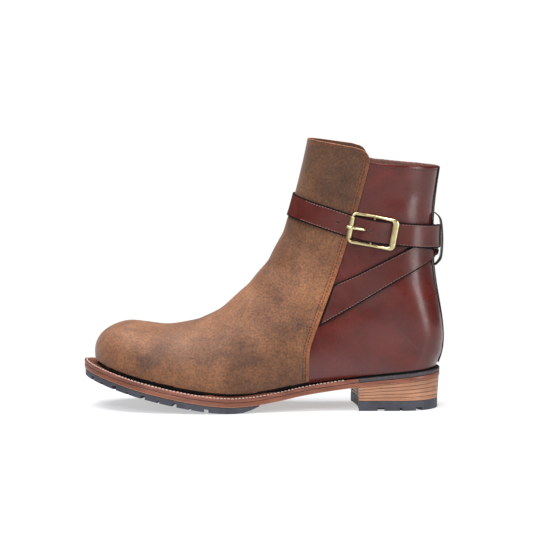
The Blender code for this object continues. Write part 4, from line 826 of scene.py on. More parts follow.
def edge_leather(name, light, dark, roughness=0.42, layers=420):
    """A cut and burnished leather edge: fine layers that run level, with flecks."""
    made, tree, shader = node_tree(name)
    strata = noise(tree, 1.0, 4, 0.6, stretch=(26, 26, layers))
    color = ramp(tree, strata, [(0.34, dark), (0.66, light)])
    patch = ramp(tree, noise(tree, 60, 4), [(0.35, 0.80), (0.7, 1.12)])
    tree.links.new(mix(tree, "MULTIPLY", 0.8, color, patch), shader.inputs["Base Color"])
    vary(tree, shader, "Roughness", 150, 3, (0.3, roughness - 0.08), (0.7, roughness + 0.12))
    bump(tree, shader, [(strata, 0.25, 0.0003), (noise(tree, 900, 2), 0.12, 0.0002)])
    return made


def rubber_matter():
    made, tree, shader = node_tree("moulded rubber")
    vary(tree, shader, "Base Color", 80, 4, (0.35, (0.026, 0.027, 0.036)), (0.7, (0.044, 0.046, 0.060)))
    vary(tree, shader, "Roughness", 300, 3, (0.3, 0.50), (0.7, 0.68))
    bump(tree, shader, [(noise(tree, 1300, 2), 0.18, 0.0002)])
    return made


def brass_matter():
    made, tree, shader = node_tree("polished brass")
    vary(tree, shader, "Base Color", 110, 4, (0.35, (0.56, 0.46, 0.22)), (0.7, (0.80, 0.70, 0.42)))
    vary(tree, shader, "Roughness", 120, 3, (0.3, 0.26), (0.75, 0.38))
    set_inputs(shader, {"Metallic": 1.0})
    return made


def plain(name, color, roughness, scale=300, spread=0.2, depth=0.15):
    """A quiet matt matter with slight variation, for linings and thread."""
    made, tree, shader = node_tree(name)
    low = tuple(c * (1 - spread) for c in color)
    high = tuple(min(1, c * (1 + spread)) for c in color)
    vary(tree, shader, "Base Color", scale, 4, (0.35, low), (0.68, high))
    set_inputs(shader, {"Roughness": roughness})
    bump(tree, shader, [(noise(tree, scale * 3, 3), depth, 0.0002)])
    return made


VAMP_MATTER = nubuck()
WORN_MATTER = nubuck("rubbed nubuck", (1.30, 1.04, 0.86))
RAW_EDGE = plain("raw nubuck edge", (0.30, 0.115, 0.050), 0.75)
QUARTER_MATTER = calf("burgundy calf", (0.100, 0.012, 0.008), (0.058, 0.007, 0.005))
STRAP_MATTER = calf("burgundy strap calf", (0.088, 0.012, 0.008), (0.052, 0.007, 0.005), 0.28)
BLACK_MATTER = calf("black backstay leather", (0.018, 0.015, 0.016), (0.008, 0.007, 0.008), 0.34)
LINING_MATTER = plain("calf lining", (0.115, 0.040, 0.028), 0.7)
INSOLE_MATTER = plain("insole leather", (0.40, 0.26, 0.17), 0.6)
WELT_MATTER = edge_leather("burnished welt", (0.215, 0.068, 0.040), (0.120, 0.032, 0.020), 0.38)
OUTSOLE_MATTER = edge_leather("outsole edge", (0.215, 0.070, 0.036), (0.130, 0.040, 0.021), 0.42)
LIFT_MATTER = edge_leather("stacked lifts", (0.420, 0.205, 0.115), (0.290, 0.125, 0.066), 0.45)
RAND_MATTER = plain("dark rand", (0.040, 0.033, 0.038), 0.5)
RUBBER_MATTER = rubber_matter()
BRASS_MATTER = brass_matter()
HOLE_SHADE_MATTER = plain("painted hole shade", (0.010, 0.006, 0.006), 0.8)
# Black used as painted shade in the crevice above the welt, and as the dye on the straps' cut edges
BLACK_DYE_AND_SHADE = plain("black dye and painted shade", (0.005, 0.004, 0.004), 0.8)
# Little shine, so the painted shade stays black
set_inputs(BLACK_DYE_AND_SHADE.node_tree.nodes["Principled BSDF"], {"Specular IOR Level": 0.12})
TAN_EDGE = plain("tan sole edge", (0.42, 0.17, 0.075), 0.5)
DARK_THREAD = plain("dark thread", (0.030, 0.018, 0.016), 0.6, 900)
RED_THREAD = plain("strap thread", (0.170, 0.085, 0.075), 0.5, 900)
LIGHT_THREAD = plain("welt thread", (0.46, 0.33, 0.28), 0.6, 900)

# Kinds of seam: distance from stitch to stitch, radius of the thread, share of the distance that it
# covers, height of its line over the leather, and its matter
Seam = namedtuple("Seam", "pitch radius fill rise surface")
FLAP_SEAM = Seam(2.8 * MM, 0.33 * MM, 0.72, 0.05 * MM, DARK_THREAD)
STRAP_SEAM = Seam(2.7 * MM, 0.30 * MM, 0.72, 0.02 * MM, RED_THREAD)
TACK_SEAM = Seam(2.8 * MM, 0.36 * MM, 0.72, 0.08 * MM, DARK_THREAD)
COLLAR_SEAM = Seam(2.8 * MM, 0.30 * MM, 0.72, 0.02 * MM, DARK_THREAD)
WELT_SEAM = Seam(3.1 * MM, 0.62 * MM, 0.80, 0.05 * MM, LIGHT_THREAD)


# The upper and the vamp

def relief(points):
    """Soft creases and slack in the leather: height over the plain form."""
    t, y, z = points[..., 0], points[..., 1], points[..., 2]
    height = np.zeros(t.shape)
    for crease in CREASES:
        along = (t - crease.t) * math.cos(crease.turn) + (z - crease.z) * math.sin(crease.turn)
        across = -(t - crease.t) * math.sin(crease.turn) + (z - crease.z) * math.cos(crease.turn)
        across = across - crease.bow * (along / crease.length) ** 2
        side = 1.0 if crease.side == 0 else np.clip(0.5 + crease.side * y / (12 * MM), 0, 1)
        fade = np.exp(-((along / crease.length) ** 2) * 2.2)
        trough = np.exp(-((across / crease.width) ** 2))
        ridge = np.exp(-(((np.abs(across) - 2.1 * crease.width) / (1.3 * crease.width)) ** 2))
        height += side * fade * crease.deep * (0.45 * ridge - trough)
    return height


# Creases seen from the side: centre, turn, half length, half width, depth, bow, and which side
# they are on (-1 lateral, 1 medial, 0 both). Lengths in metres.
Crease = namedtuple("Crease", "t z turn length width deep bow side")
CREASES = (
    Crease(0.096, 0.066, 1.10, 0.030, 0.0050, 0.00040, 0.004, 0),
    Crease(0.110, 0.066, 1.05, 0.032, 0.0046, 0.00036, 0.004, 0),
    Crease(0.146, 0.100, -0.60, 0.026, 0.0060, 0.00045, 0.003, 0),
    Crease(0.162, 0.122, -0.50, 0.026, 0.0060, 0.00055, 0.003, 0),
    Crease(0.176, 0.146, -0.38, 0.028, 0.0060, 0.00045, 0.003, 0),
    Crease(0.246, 0.092, 0.55, 0.030, 0.0085, 0.00050, -0.004, 0),
    Crease(0.262, 0.120, 0.35, 0.026, 0.0080, 0.00050, -0.003, 0),
    Crease(0.268, 0.182, 0.15, 0.024, 0.0080, 0.00050, 0.002, 0),
)


def bunched(count, share=0.35):
    """Places once round the boot, closer together at its front and back."""
    even = np.linspace(0, 2, count)
    return even - share * np.sin(2 * math.pi * even) / (2 * math.pi)


def faded_relief(points, fade):
    """The relief where it is clear of the welt."""
    return relief(points) * np.clip((feather_distance(points) - RELIEF_START) / fade, 0, 1)


def make_upper():
    """The quarters and the lining: an outer and an inner surface that meet in a beaded top line."""
    q = bunched(UPPER_ROUND)
    tops = np.array([row_at_height(float(b), collar) for b in q])
    forefoot = np.linspace(0, INSTEP_ROW, FOREFOOT_ROWS)[:-1]
    foot = np.concatenate([forefoot, np.linspace(INSTEP_ROW, HEEL_ROW, INSTEP_ROWS)[:-1]])
    rows_s = [np.full(len(q), s) for s in foot]
    for share in np.linspace(0, 1, LEG_ROWS):
        rows_s.append(HEEL_ROW + (tops - HEEL_ROW) * share)
    s = np.array(rows_s)
    qs = np.broadcast_to(q, s.shape)
    plain_form = skin(s, qs)
    normal = outward(s, qs)
    outer = plain_form + normal * faded_relief(plain_form, UPPER_RELIEF_FADE)[..., None]
    inner = plain_form - normal * WALL
    bead = np.array([outer[-1] * (1 - u) + inner[-1] * u for u in (0.12, 0.35, 0.65, 0.88)])
    bead[:, :, 2] += np.array([0.35, 0.55, 0.55, 0.35])[:, None] * MM
    outer_all = np.concatenate([outer, bead, inner[::-1]])
    total, count = outer_all.shape[:2]
    faces = grid_faces(total, count)
    for i in range(len(foot)):
        mirror = total - 1 - i
        for j in (0, count - 1):
            faces.append((i * count + j, (i + 1) * count + j, (mirror - 1) * count + j, mirror * count + j))
    for j in range(count - 1):
        faces.append((j, j + 1, (total - 1) * count + j + 1, (total - 1) * count + j))
    made = piece("upper_leather", to_world(outer_all), faces, QUARTER_MATTER, 50, ("upper",))
    made.data.materials.append(LINING_MATTER)
    centres = np.array([f.center for f in made.data.polygons])
    normals = np.array([f.normal for f in made.data.polygons])
    for face, lined in zip(made.data.polygons, inside_faces(centres, normals)):
        face.material_index = int(lined)
    # Painted shade: black in the crevice above the welt
    paint_crevice_shade(made, UPPER_SHADE_HEIGHT)


def paint_crevice_shade(made, height):
    """Painted shade: the leather just above the welt, in the crevice where it is drawn in, is coloured black.
    """
    made.data.materials.append(BLACK_DYE_AND_SHADE)
    last = len(made.data.materials) - 1
    centres = np.array([face.center for face in made.data.polygons])
    centres[:, 0] += HEEL_CENTRE
    for face, rise in zip(made.data.polygons, feather_distance(centres)):
        if rise < height:
            face.material_index = last


def feather_distance(points):
    """Height of points over the line where the upper meets the welt."""
    return points[..., 2] - feather_level(points[..., 0].ravel()).reshape(points.shape[:-1])


def inside_faces(centres, normals):
    """Faces of the lining: they look towards the middle of the leg or foot."""
    t = centres[:, 0] + HEEL_CENTRE
    leg = np.interp(centres[:, 2] / SHAFT_HEIGHT, *zip(*LEG_MIDDLE)) * SOLE_LENGTH
    in_leg = centres[:, 2] > ANKLE_LEVEL
    middle_t = np.where(in_leg, leg, np.clip(t, *FOOT_MIDDLE))
    middle_z = np.where(in_leg, centres[:, 2], FOOT_MIDDLE_LEVEL)
    middle = np.stack([middle_t - HEEL_CENTRE, np.zeros(len(t)), middle_z], axis=1)
    return np.sum((middle - centres) * normals, axis=1) > 0


def edge_place(step):
    """Row and share of a place on the vamp's rear edge: step counts the rows of FLAP_EDGE."""
    along, height = columns(FLAP_EDGE)
    index = np.arange(len(FLAP_EDGE), dtype=float)
    t = SOLE_LENGTH * float(smooth(step, index, along)[0])
    return locate(t, SHAFT_HEIGHT * float(smooth(step, index, height)[0]))


def edge_step(s):
    """The step at which the vamp's rear edge reaches row s."""
    low, high = 0.0, float(FLAP_CORNER)
    for _ in range(24):
        step = (low + high) / 2
        low, high = (step, high) if edge_place(step)[0] < s else (low, step)
    return step


def make_vamp():
    """The vamp and its tall front flap, laid over the upper."""
    q = bunched(VAMP_ROUND)
    near = np.minimum(q, 2 - q)
    seam_t = FLAP_EDGE[0].along * SOLE_LENGTH
    seam_row = locate(seam_t, float(feather_level(seam_t)[0]) + GAP)[0]
    rows_s = [np.full(len(q), s) for s in np.linspace(0, seam_row, VAMP_FOOT_ROWS)]
    rows_q = [q] * len(rows_s)
    top_row = row_at_height(1.0, lambda t: SHAFT_HEIGHT * FLAP_TOP)
    last_row = int(edge_place(FLAP_CORNER)[0])
    bend_step, last_step = edge_step(last_row), len(FLAP_EDGE) - 1
    side_steps = np.linspace(edge_step(seam_row), bend_step, FLAP_SIDE_ROWS)[1:]
    for step in np.concatenate([side_steps, np.linspace(bend_step, last_step, FLAP_TOP_ROWS)[1:]]):
        s, share = edge_place(step)
        late = max(0.0, (step - bend_step) / (last_step - bend_step))
        ridge_row = s if late == 0 else last_row + (top_row - last_row) * late
        edge_q = share + (1 - share) * near
        rows_s.append(s + (ridge_row - s) * near)
        rows_q.append(np.where(q <= 1, edge_q, 2 - edge_q))
    s, qs = np.array(rows_s), np.array(rows_q)
    plain_form = skin(s, qs)
    normal = outward(s, qs)
    outer = plain_form + normal * (VAMP_BUILD + faded_relief(plain_form, VAMP_RELIEF_FADE))[..., None]
    inner = plain_form + normal * VAMP_GAP
    points, faces = plate(to_world(outer), to_world(inner), 0.25 * MM)
    made = piece("vamp_leather", points, faces, VAMP_MATTER, 50, ("vamp",))
    made.data.materials.append(RAW_EDGE)
    # Painted shade: black in the crevice above the welt
    paint_crevice_shade(made, VAMP_SHADE_HEIGHT)
    made.data.materials.append(WORN_MATTER)
    along = np.linalg.norm(np.diff(plain_form, axis=1), axis=2)
    from_edge = np.minimum(np.cumsum(along, axis=1), np.cumsum(along[:, ::-1], axis=1)[:, ::-1])
    from_top = np.linalg.norm(plain_form[:, :-1] - plain_form[-1, :-1], axis=2)
    from_top[: len(rows_s) - TOP_BAND_ROWS] = SOLE_LENGTH
    rubbed = np.minimum(from_edge, from_top) < RUBBED_WIDTH
    rubbed[: VAMP_FOOT_ROWS - 1] = False
    across = s.shape[1] - 1
    outer_faces = (s.shape[0] - 1) * across
    for face in made.data.polygons:
        if face.material_index == 0 and face.index >= 2 * outer_faces:
            face.material_index = 1
        elif face.material_index == 0 and face.index < outer_faces and rubbed[divmod(face.index, across)]:
            face.material_index = 3


# Stitches

def stitch_line(name, points, normals, seam):
    """A row of thread stitches laid along a line, half sunk in the leather."""
    length = distances(points)
    count = max(2, int(round(length[-1] / seam.pitch)))
    half, radius = seam.pitch * seam.fill / 2, seam.radius
    verts, faces = [], []
    around, along = 8, 6
    for k in range(count):
        at = (k + 0.5) * length[-1] / count
        centre, ahead, up = (
            np.array([np.interp(where, length, column) for column in source.T])
            for where, source in ((at, points), (at + 0.2 * MM, points), (at, normals))
        )
        if np.allclose(centre, ahead):
            continue
        forward = units(ahead - centre)
        up = units(up - forward * np.dot(up, forward))
        side = np.cross(forward, up)
        faces += grid_faces(along + 1, around, closed_columns=True, start=len(verts))
        for i in range(along + 1):
            angle = math.pi * i / along
            reach, wide = -math.cos(angle) * half, math.sin(angle) ** 0.6 * radius
            sink = radius * 0.35 * (1 - math.sin(angle))
            for j in range(around):
                turn = 2 * math.pi * j / around
                verts.append(centre + forward * reach + side * math.cos(turn) * wide
                             + up * (math.sin(turn) * wide - sink + radius * 0.25))
    return piece(name, to_world(np.array(verts)), faces, seam.surface, 80)


def flap_stitches():
    """Two rows of dark thread just inside the vamp's rear edge, on both sides."""
    for row, inset in enumerate(FLAP_ROWS):
        line = [edge_place(step) for step in np.linspace(FLAP_THREAD_FROM, len(FLAP_EDGE) - 1, 260)]
        s, share = np.array(line).T
        for side_name, q in (("lateral", share), ("medial", 2 - share)):
            points = on_skin(s, q, np.full(len(s), VAMP_BUILD + GUIDE_RISE))
            normal = outward(s, q)
            inward = np.cross(normal, units(np.gradient(points, axis=0)))
            inward *= -np.sign(inward[:1, 0])
            moved = points + inward * inset
            placed = np.array([stay_on(*place, target) for place, target in zip(zip(s, q), moved)])
            line_points = on_skin(placed[:, 0], placed[:, 1], np.full(len(s), VAMP_BUILD + FLAP_SEAM.rise))
            stitch_line(f"flap_stitches_{side_name}_{row + 1}", line_points, normal, FLAP_SEAM)


def stay_on(s, q, target):
    """The place on the skin nearest to a point close to it."""
    for _ in range(5):
        here = skin(s, q)
        by_s = (skin(s + S_STEP, q) - skin(s - S_STEP, q)) / (2 * S_STEP)
        by_q = (skin(s, q + Q_STEP) - skin(s, q - Q_STEP)) / (2 * Q_STEP)
        step = np.linalg.lstsq(np.stack([by_s, by_q], axis=1), target - here, rcond=None)[0]
        s, q = float(s + step[0]), float(q + step[1])
    return s, q


class StrapLine:
    """A strap's centre line, with points at any share of its width and height over its top."""

    def __init__(self, stops, stations=150):
        places = []
        for stop in stops:
            z = stop.height * SHAFT_HEIGHT
            if stop.side in ("front", "back"):
                q = 1.0 if stop.side == "front" else 0.0
                s = row_at_height(q, lambda t: z)
            else:
                s, share = locate(stop.along * SOLE_LENGTH, z)
                q = share if stop.side == "lateral" else 2 - share
            places.append((s, q + stop.turn))
        under = {"quarter": 0.0, "vamp": VAMP_BUILD, "backstay": BACKSTAY_BUILD}
        index = np.arange(len(stops), dtype=float)
        rows, turns = columns(places)
        at = np.linspace(0, len(stops) - 1, stations)
        self.s, self.q = smooth(at, index, rows), smooth(at, index, turns)
        rest = [under[stop.base] + stop.straps * STRAP_BUILD + STRAP_EASE for stop in stops]
        self.height = np.interp(at, index, rest) + STRAP_THICK
        self.width = np.interp(at, index, [stop.width * STRAP_WIDTH for stop in stops])
        self.centres = skin(self.s, self.q)
        soften(self.centres, 24)
        for i, centre in enumerate(self.centres):
            self.s[i], self.q[i] = stay_on(self.s[i], self.q[i], centre)
        self.length = distances(self.centres)
        self.stop_at = np.interp(index, at, self.length)
        side = np.cross(outward(self.s, self.q), np.gradient(self.centres, axis=0))
        soften(side, 8)
        self.side = units(side)

    def over_bar(self, buckle_at):
        """Raises the line where the strap passes over the buckle's middle bar."""
        away = np.abs(self.length - buckle_at)
        lift = np.maximum(0, BAR_TOP + STRAP_THICK - self.height)
        arch = 0.5 + 0.5 * np.cos(math.pi * np.minimum(away, BUCKLE_HALF) / BUCKLE_HALF)
        self.height = self.height + np.where(away < BUCKLE_HALF, lift * arch, 0)

    def edge(self, share, first, last):
        """Points and normals of the thread near an edge, from first to last along the strap."""
        chosen = [i for i, at in enumerate(self.length) if first <= at <= last]
        places = []
        for i in chosen:
            reach = share * (self.width[i] / 2 - THREAD_INSET)
            places.append(stay_on(self.s[i], self.q[i], self.centres[i] + self.side[i] * reach))
        s, q = np.array(places).T
        points = on_skin(s, q, self.height[chosen] + STRAP_SEAM.rise)
        soften(points, 12)
        along, height = (column[:FLAP_CORNER] for column in columns(FLAP_EDGE))
        early = self.length[chosen] < self.length[-1] / 4
        edge_t = np.interp(points[:, 2] / SHAFT_HEIGHT, height, along) * SOLE_LENGTH
        shown = ~(early & (points[:, 0] < edge_t + THREAD_TO_FLAP))
        return points[shown], outward(s, q)[shown]


def solid_tree(node):
    """The surface of a CAD solid, to lay thread and holes on it."""
    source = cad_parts[node]
    verts = [source.matrix_world @ vert.co for vert in source.data.vertices]
    return bvhtree.BVHTree.FromPolygons(verts, [tuple(face.vertices) for face in source.data.polygons])


def laid_on(tree, points, normals, over=0.05 * MM, reach=1.4 * MM):
    """The same points moved along their normals onto the solid."""
    laid = points.copy()
    for i, (point, normal) in enumerate(zip(points, normals)):
        start = Vector(point) + Vector(normal) * reach - Vector((HEEL_CENTRE, 0, 0))
        hit, _, _, _ = tree.ray_cast(start, -Vector(normal), 2 * reach)
        if hit is not None:
            laid[i] = np.array((hit.x + HEEL_CENTRE, hit.y, hit.z)) + normal * over
    return laid


def strap_stitches():
    """Thread along both edges of the straps."""
    long_line = StrapLine(LONG_STRAP)
    buckle_at = long_line.stop_at[BUCKLE_STOP]
    long_line.over_bar(buckle_at)
    short_line = StrapLine(BUCKLE_STRAP, 220)
    tail_end, frame_end = long_line.length[-1] - THREAD_TO_TAIL, short_line.length[-1] - THREAD_TO_FRAME
    runs = (
        ("long_strap", long_line, 0.0, buckle_at - THREAD_TO_BUCKLE),
        ("long_strap_tail", long_line, buckle_at + THREAD_FROM_BUCKLE, tail_end),
        ("buckle_strap", short_line, 0.0, frame_end),
    )
    for name, line, first, last in runs:
        tree = solid_tree("buckle_strap" if line is short_line else "long_strap")
        for share, edge_name in ((-1, "low"), (1, "high")):
            points, normals = line.edge(share, first, last)
            points = laid_on(tree, points, normals)
            thread = stitch_line(f"{name}_stitches_{edge_name}", points, normals, STRAP_SEAM)
    return long_line, buckle_at


def strap_holes(line, buckle_at):
    """Round punched holes on the strap's middle line: shallow wells with a pressed rim, their floors painted
    dark as shade for the hole's depth.

    Each ring is a radius and a height over the strap, both in millimetres."""
    verts, faces = [], []
    tree = solid_tree("long_strap")
    around = 20
    rings = ((1.75, 0.02), (1.45, 0.16), (1.15, 0.10), (1.05, -0.05), (0.0, -0.05))
    bright_rings = 2
    for along in HOLES:
        s, q, height = (float(np.interp(buckle_at + along, line.length, values))
                        for values in (line.s, line.q, line.height))
        up = outward(s, q)
        centre = laid_on(tree, on_skin(s, q, height)[None], up[None], 0.0, 5 * MM)[0]
        forward = units(np.cross(up, np.array([0.0, 0.0, 1.0])))
        side = np.cross(up, forward)
        faces += grid_faces(len(rings), around, closed_columns=True, start=len(verts))
        for radius, rise in rings:
            for j in range(around):
                turn = 2 * math.pi * j / around
                out = forward * math.cos(turn) + side * math.sin(turn)
                verts.append(centre + out * radius * MM + up * rise * MM)
    made = piece("strap_holes", to_world(np.array(verts)), faces, STRAP_MATTER, 60)
    made.data.materials.append(HOLE_SHADE_MATTER)
    for face in made.data.polygons:
        # The floors of the holes are painted dark: painted shade for the hole's depth.
        face.material_index = int(face.index % (around * (len(rings) - 1)) >= bright_rings * around)


def bar_tack():
    """The short double row of thread on the vamp where the lower strap meets it."""
    for side_name, mirror in (("lateral", False), ("medial", True)):
        for row, (t_low, z_low, t_high, z_high) in enumerate(TACK_ROWS):
            line = []
            for share in np.linspace(0, 1, 8):
                s, q = locate(t_low + (t_high - t_low) * share, z_low + (z_high - z_low) * share)
                line.append((s, 2 - q if mirror else q))
            s, q = np.array(line).T
            points = on_skin(s, q, np.full(len(s), VAMP_BUILD + TACK_SEAM.rise))
            thread = stitch_line(f"tack_{side_name}_{row + 1}", points, outward(s, q), TACK_SEAM)


def collar_stitches():
    """One row of dark thread just under the quarter's top line."""
    q = np.linspace(0.0, 2.0, 220)
    s = np.array([row_at_height(float(share), lambda t: collar(t) - COLLAR_INSET) for share in q])
    points = on_skin(s, q, np.full(len(s), COLLAR_SEAM.rise))
    on_quarter = (points[:, 0] > COLLAR_THREAD_FROM * SOLE_LENGTH) & (np.minimum(q, 2 - q) > BACKSTAY_SHARE)
    for side_name, chosen in (("lateral", q < 1), ("medial", q > 1)):
        keep = chosen & on_quarter
        thread = stitch_line(f"collar_stitches_{side_name}", points[keep], outward(s, q)[keep], COLLAR_SEAM)


# Sole and heel

def strip_inset(t):
    """How far the welt and the rand reach inwards from the sole's edge, under the upper."""
    return welt_reach(t) + VAMP_BUILD + WALL - 2 * GAP


def strip(name, first, last, surface, node, count):
    """A bevelled strip on the outsole's edge: its own piece, its outer line and the way in from it."""
    bevel, thick = WELT_BEVEL, WELT_THICK
    edges = []
    for inset in (0.0, strip_inset):
        lateral, medial = (part_line(inset_outline(side, inset), first, last) for side in (-1, 1))
        halves = [medial, lateral[::-1]] if first > 0 else [lateral[::-1], medial]
        edges.append(resample(np.concatenate(halves), count))
    outer, inner = edges
    inward = units(inner - outer)
    rows = []
    low = welt_level(outer[:, 0])
    low_in = welt_level(inner[:, 0])
    corner = bevel * 0.3
    profile = ((bevel, 0), (corner, corner), (0, bevel),
               (0, thick - bevel), (corner, thick - corner), (bevel, thick))
    for k in range(count):
        row = [(*(outer[k] + inward[k] * inset), low[k] + rise) for inset, rise in profile]
        row += [(*inner[k], low_in[k] + thick), (*inner[k], low_in[k])]
        rows.append(row)
    return sweep(name, rows, surface, (node,)), outer, inward


def make_sole():
    """The outsole, the welt with its thread, and the rand over the heel."""
    breast = SOLE_LENGTH - HEEL_LENGTH
    lateral, medial = (resample(sole_outline(side), 220) for side in (-1, 1))
    loop = np.concatenate([lateral, medial[::-1][1:-1]])
    low = underside(loop[:, 0])
    outsole = layer("outsole_leather", loop, low, low + OUTSOLE_THICK, OUTSOLE_BEVEL, OUTSOLE_MATTER,
                    ("outsole",))
    outsole.data.materials.append(TAN_EDGE)
    for face in outsole.data.polygons:
        centre = face.center
        if abs(face.normal.z) < 0.9 and centre.z < underside(centre.x + HEEL_CENTRE) + TAN_EDGE_HEIGHT:
            face.material_index = 1
    welt, outer, inward = strip("welt_strip", 0, breast, WELT_MATTER, "welt", 260)
    rand, _, _ = strip("heel_rand_strip", breast + GAP, SOLE_LENGTH, RAND_MATTER, "heel_rand", 160)
    seam = (outer + inward * WELT_THREAD_INSET)[WELT_THREAD_ENDS:-WELT_THREAD_ENDS]
    points = np.column_stack([seam, welt_level(seam[:, 0]) + WELT_THICK + WELT_SEAM.rise])
    up = np.tile([0.0, 0.0, 1.0], (len(points), 1))
    thread = stitch_line("welt_stitches", points, up, WELT_SEAM)


def heel_outline(inset):
    """The heel seen from below, once round: its back and its hollow, skewed breast."""
    first = SOLE_LENGTH - HEEL_LENGTH
    lateral = part_line(inset_outline(-1, inset), first, SOLE_LENGTH)
    medial = part_line(inset_outline(1, inset), first - BREAST_SKEW, SOLE_LENGTH)
    back = resample(np.concatenate([lateral, medial[::-1]]), 140)
    start, finish = back[-1], back[0]
    share = np.linspace(0, 1, 22)[1:-1]
    breast = start + (finish - start) * share[:, None]
    breast[:, 0] += BREAST_HOLLOW * np.sin(math.pi * share)
    return np.concatenate([back, breast])


def make_heel():
    """The stacked lifts, each a little wider than the one below it."""
    bottom = TOP_LIFT_THICK + GAP
    for lift in range(LIFT_COUNT):
        inset = HEEL_SETBACK + HEEL_TAPER * (1 - (lift + 0.5) / LIFT_COUNT)
        loop = heel_outline(inset)
        seat = underside(loop[:, 0])
        low = bottom + (seat - bottom) * lift / LIFT_COUNT
        high = bottom + (seat - bottom) * (lift + 1) / LIFT_COUNT - GAP
        made = layer(f"heel_lift_leather_{lift + 1}", loop, low, high, LIFT_BEVEL, LIFT_MATTER,
                     (f"heel_lift_{lift + 1}",))


# Pieces made from the CAD solids

SKIN_NORMALS = NORMALS.reshape(-1, 3)
SKIN_TREE = kdtree.KDTree(len(SKIN_NORMALS))
for place, point in enumerate(SKIN.reshape(-1, 3)):
    SKIN_TREE.insert(point, place)
SKIN_TREE.balance()


def round_edges(made, width, degrees):
    rounding = made.modifiers.new("rounded edges", "BEVEL")
    rounding.width = width
    rounding.segments = 2
    rounding.limit_method = "ANGLE"
    rounding.angle_limit = math.radians(degrees)
    return rounding


def refined(node, name, surface, bevel, dyed_and_shaded=False):
    """A finer copy of a CAD solid: quads again, rounded edges and a smooth surface."""
    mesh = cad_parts[node].data.copy()
    mesh.name = name
    builder = bmesh.new()
    builder.from_mesh(mesh)
    bmesh.ops.remove_doubles(builder, verts=builder.verts, dist=1e-6)
    bmesh.ops.join_triangles(builder, faces=builder.faces, angle_face_threshold=math.radians(12),
                             angle_shape_threshold=math.radians(60))
    builder.to_mesh(mesh)
    builder.free()
    made = linked(name, mesh)
    mesh.materials.clear()
    mesh.materials.append(surface)
    mesh.shade_smooth()
    if dyed_and_shaded:  # the cut sides, which face along the skin, are black
        mesh.materials.append(BLACK_DYE_AND_SHADE)
        for face in mesh.polygons:
            centre = made.matrix_world @ face.center
            _, index, _ = SKIN_TREE.find((centre.x + HEEL_CENTRE, centre.y, centre.z))
            face.material_index = int(abs(face.normal.dot(Vector(SKIN_NORMALS[index]))) < 0.55)
    rounding = round_edges(made, bevel, 38)
    # The rounded edges take the black too: the dyed edge, and painted shade for the dark line along the
    # strap's edge.
    if dyed_and_shaded:
        rounding.material = 1
    finer = made.modifiers.new("smooth surface", "SUBSURF")
    finer.levels = 2
    finer.render_levels = 2
    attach(made, "root")
    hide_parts(node)


def dress(node, surface, bevel=0.0):
    """A better material, and rounded edges, on a CAD solid that stays."""
    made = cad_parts[node]
    made.data.materials.clear()
    made.data.materials.append(surface)
    if bevel:
        round_edges(made, bevel, 40)
    return made


def cast(node, surface):
    """A cast metal piece: its own solid, with even, rounded edges."""
    made = dress(node, surface)
    even = made.modifiers.new("even surface", "REMESH")
    even.mode = "VOXEL"
    even.voxel_size = 0.28 * MM
    even.use_smooth_shade = True
    soft = made.modifiers.new("rounded edges", "SMOOTH")
    soft.factor = 0.5
    soft.iterations = 6


make_upper()
make_vamp()
make_sole()
make_heel()
flap_stitches()
strap_holes(*strap_stitches())
bar_tack()
collar_stitches()
for node, name in (("long_strap", "long_strap_leather"), ("buckle_strap", "buckle_strap_leather")):
    refined(node, name, STRAP_MATTER, 0.55 * MM, dyed_and_shaded=True)
refined("backstay", "backstay_strip", BLACK_MATTER, 0.25 * MM)
refined("heel_loop", "heel_loop_strip", BLACK_MATTER, 0.4 * MM)
for node in ("buckle_frame", "buckle_prong", "buckle_roller"):
    cast(node, BRASS_MATTER)
dress("insole", INSOLE_MATTER)
dress("rubber_sole", RUBBER_MATTER, 0.3 * MM)
dress("top_lift", RUBBER_MATTER, 0.35 * MM)


# Floor, light and camera

def light(name, place, target, size, power):
    lamp = bpy.data.lights.new(name, "AREA")
    lamp.shape = "RECTANGLE"
    lamp.size, lamp.size_y = size
    lamp.energy = power
    made = linked(name, lamp)
    made.location = place
    direction = Vector(target) - Vector(place)
    made.rotation_euler = direction.to_track_quat("-Z", "Y").to_euler()


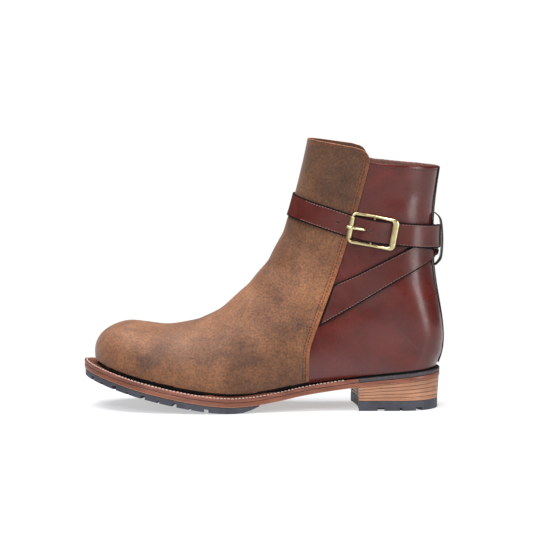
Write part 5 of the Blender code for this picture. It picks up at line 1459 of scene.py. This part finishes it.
def make_floor():
    """A sheet of paper under the boot that glows: painted light, half glowing near the boot so its cast
    shadow is lighter, and glowing plain white further out.
    """
    mesh = bpy.data.meshes.new("floor")
    mesh.from_pydata([(-4, -4, 0), (4, -4, 0), (4, 5, 0), (-4, 5, 0)], [], [(0, 1, 2, 3)])
    floor = linked("floor", mesh)
    floor.location.z = -0.0002
    matter, tree, shader = node_tree("glowing floor paper")
    set_inputs(shader, {"Roughness": 0.6, "Specular IOR Level": 0.2, "Emission Strength": 1.0})
    place = tree.nodes.new("ShaderNodeTexCoord")
    away = tree.nodes.new("ShaderNodeVectorMath")
    away.operation = "DISTANCE"
    away.inputs[1].default_value = (-0.11, 0, 0)
    tree.links.new(place.outputs["Object"], away.inputs[0])
    # Painted light: the floor's glow is about half near the boot, which lightens its cast shadow, and full
    # white further out.
    far = ramp(tree, away.outputs["Value"], [(0.05, 0.45), (0.16, 0.55), (0.38, 1.0)])
    tree.links.new(mix(tree, "MIX", far, (0.93, 0.94, 0.98), (0.0, 0.0, 0.0)), shader.inputs["Base Color"])
    tree.links.new(mix(tree, "MIX", far, (0.0, 0.0, 0.0), (1.0, 1.0, 1.0)), shader.inputs["Emission Color"])
    floor.data.materials.append(matter)


def background(tree, color, strength):
    made = tree.nodes.new("ShaderNodeBackground")
    set_inputs(made, {"Color": (*color, 1), "Strength": strength})
    return made.outputs[0]


def choose(tree, share, first, second):
    """One background or the other, by the kind of ray."""
    made = tree.nodes.new("ShaderNodeMixShader")
    for socket, source in zip(made.inputs, (share, first, second)):
        tree.links.new(source, socket)
    return made.outputs[0]


def studio():
    """White for the camera, a soft fill for the boot, less of it in what shines, and three lamps."""
    make_floor()
    world = bpy.data.worlds.new("studio")
    bpy.context.scene.world = world
    world.use_nodes = True
    tree = world.node_tree
    path = tree.nodes.new("ShaderNodeLightPath")
    fill, dim = (background(tree, (0.97, 0.98, 1), strength) for strength in (FILL_LIGHT, MIRRORED_LIGHT))
    mirrored = choose(tree, path.outputs["Is Glossy Ray"], fill, dim)
    both = choose(tree, path.outputs["Is Camera Ray"], mirrored, background(tree, (1, 1, 1), 1.0))
    tree.links.new(both, tree.nodes["World Output"].inputs["Surface"])
    middle = (-0.11, 0, 0.10)
    light("top softbox", (-0.35, -0.15, 1.5), middle, (2.0, 1.4), 52)
    light("glow softbox", (-0.38, -1.10, 0.72), (-0.02, 0, 0.07), (0.34, 0.26), 7)
    light("rear side softbox", (1.05, -0.70, 0.30), middle, (0.34, 1.0), 7)
    bpy.context.scene.view_settings.view_transform = "Standard"


def camera():
    """A long lens that shows the boot at the size it has in the photo."""
    lens = bpy.data.cameras.new("camera")
    lens.sensor_width = CAMERA_SENSOR
    lens.lens = CAMERA_SENSOR * CAMERA_AWAY / (PHOTO_PIXELS * PIXEL_SIZE)
    lens.clip_end = 20
    made = linked("camera", lens)
    away = Vector((0, -math.cos(CAMERA_RISE), math.sin(CAMERA_RISE)))
    made.location = CAMERA_TARGET + away * CAMERA_AWAY
    made.rotation_euler = (-away).to_track_quat("-Z", "Y").to_euler()
    bpy.context.scene.camera = made


studio()
camera()
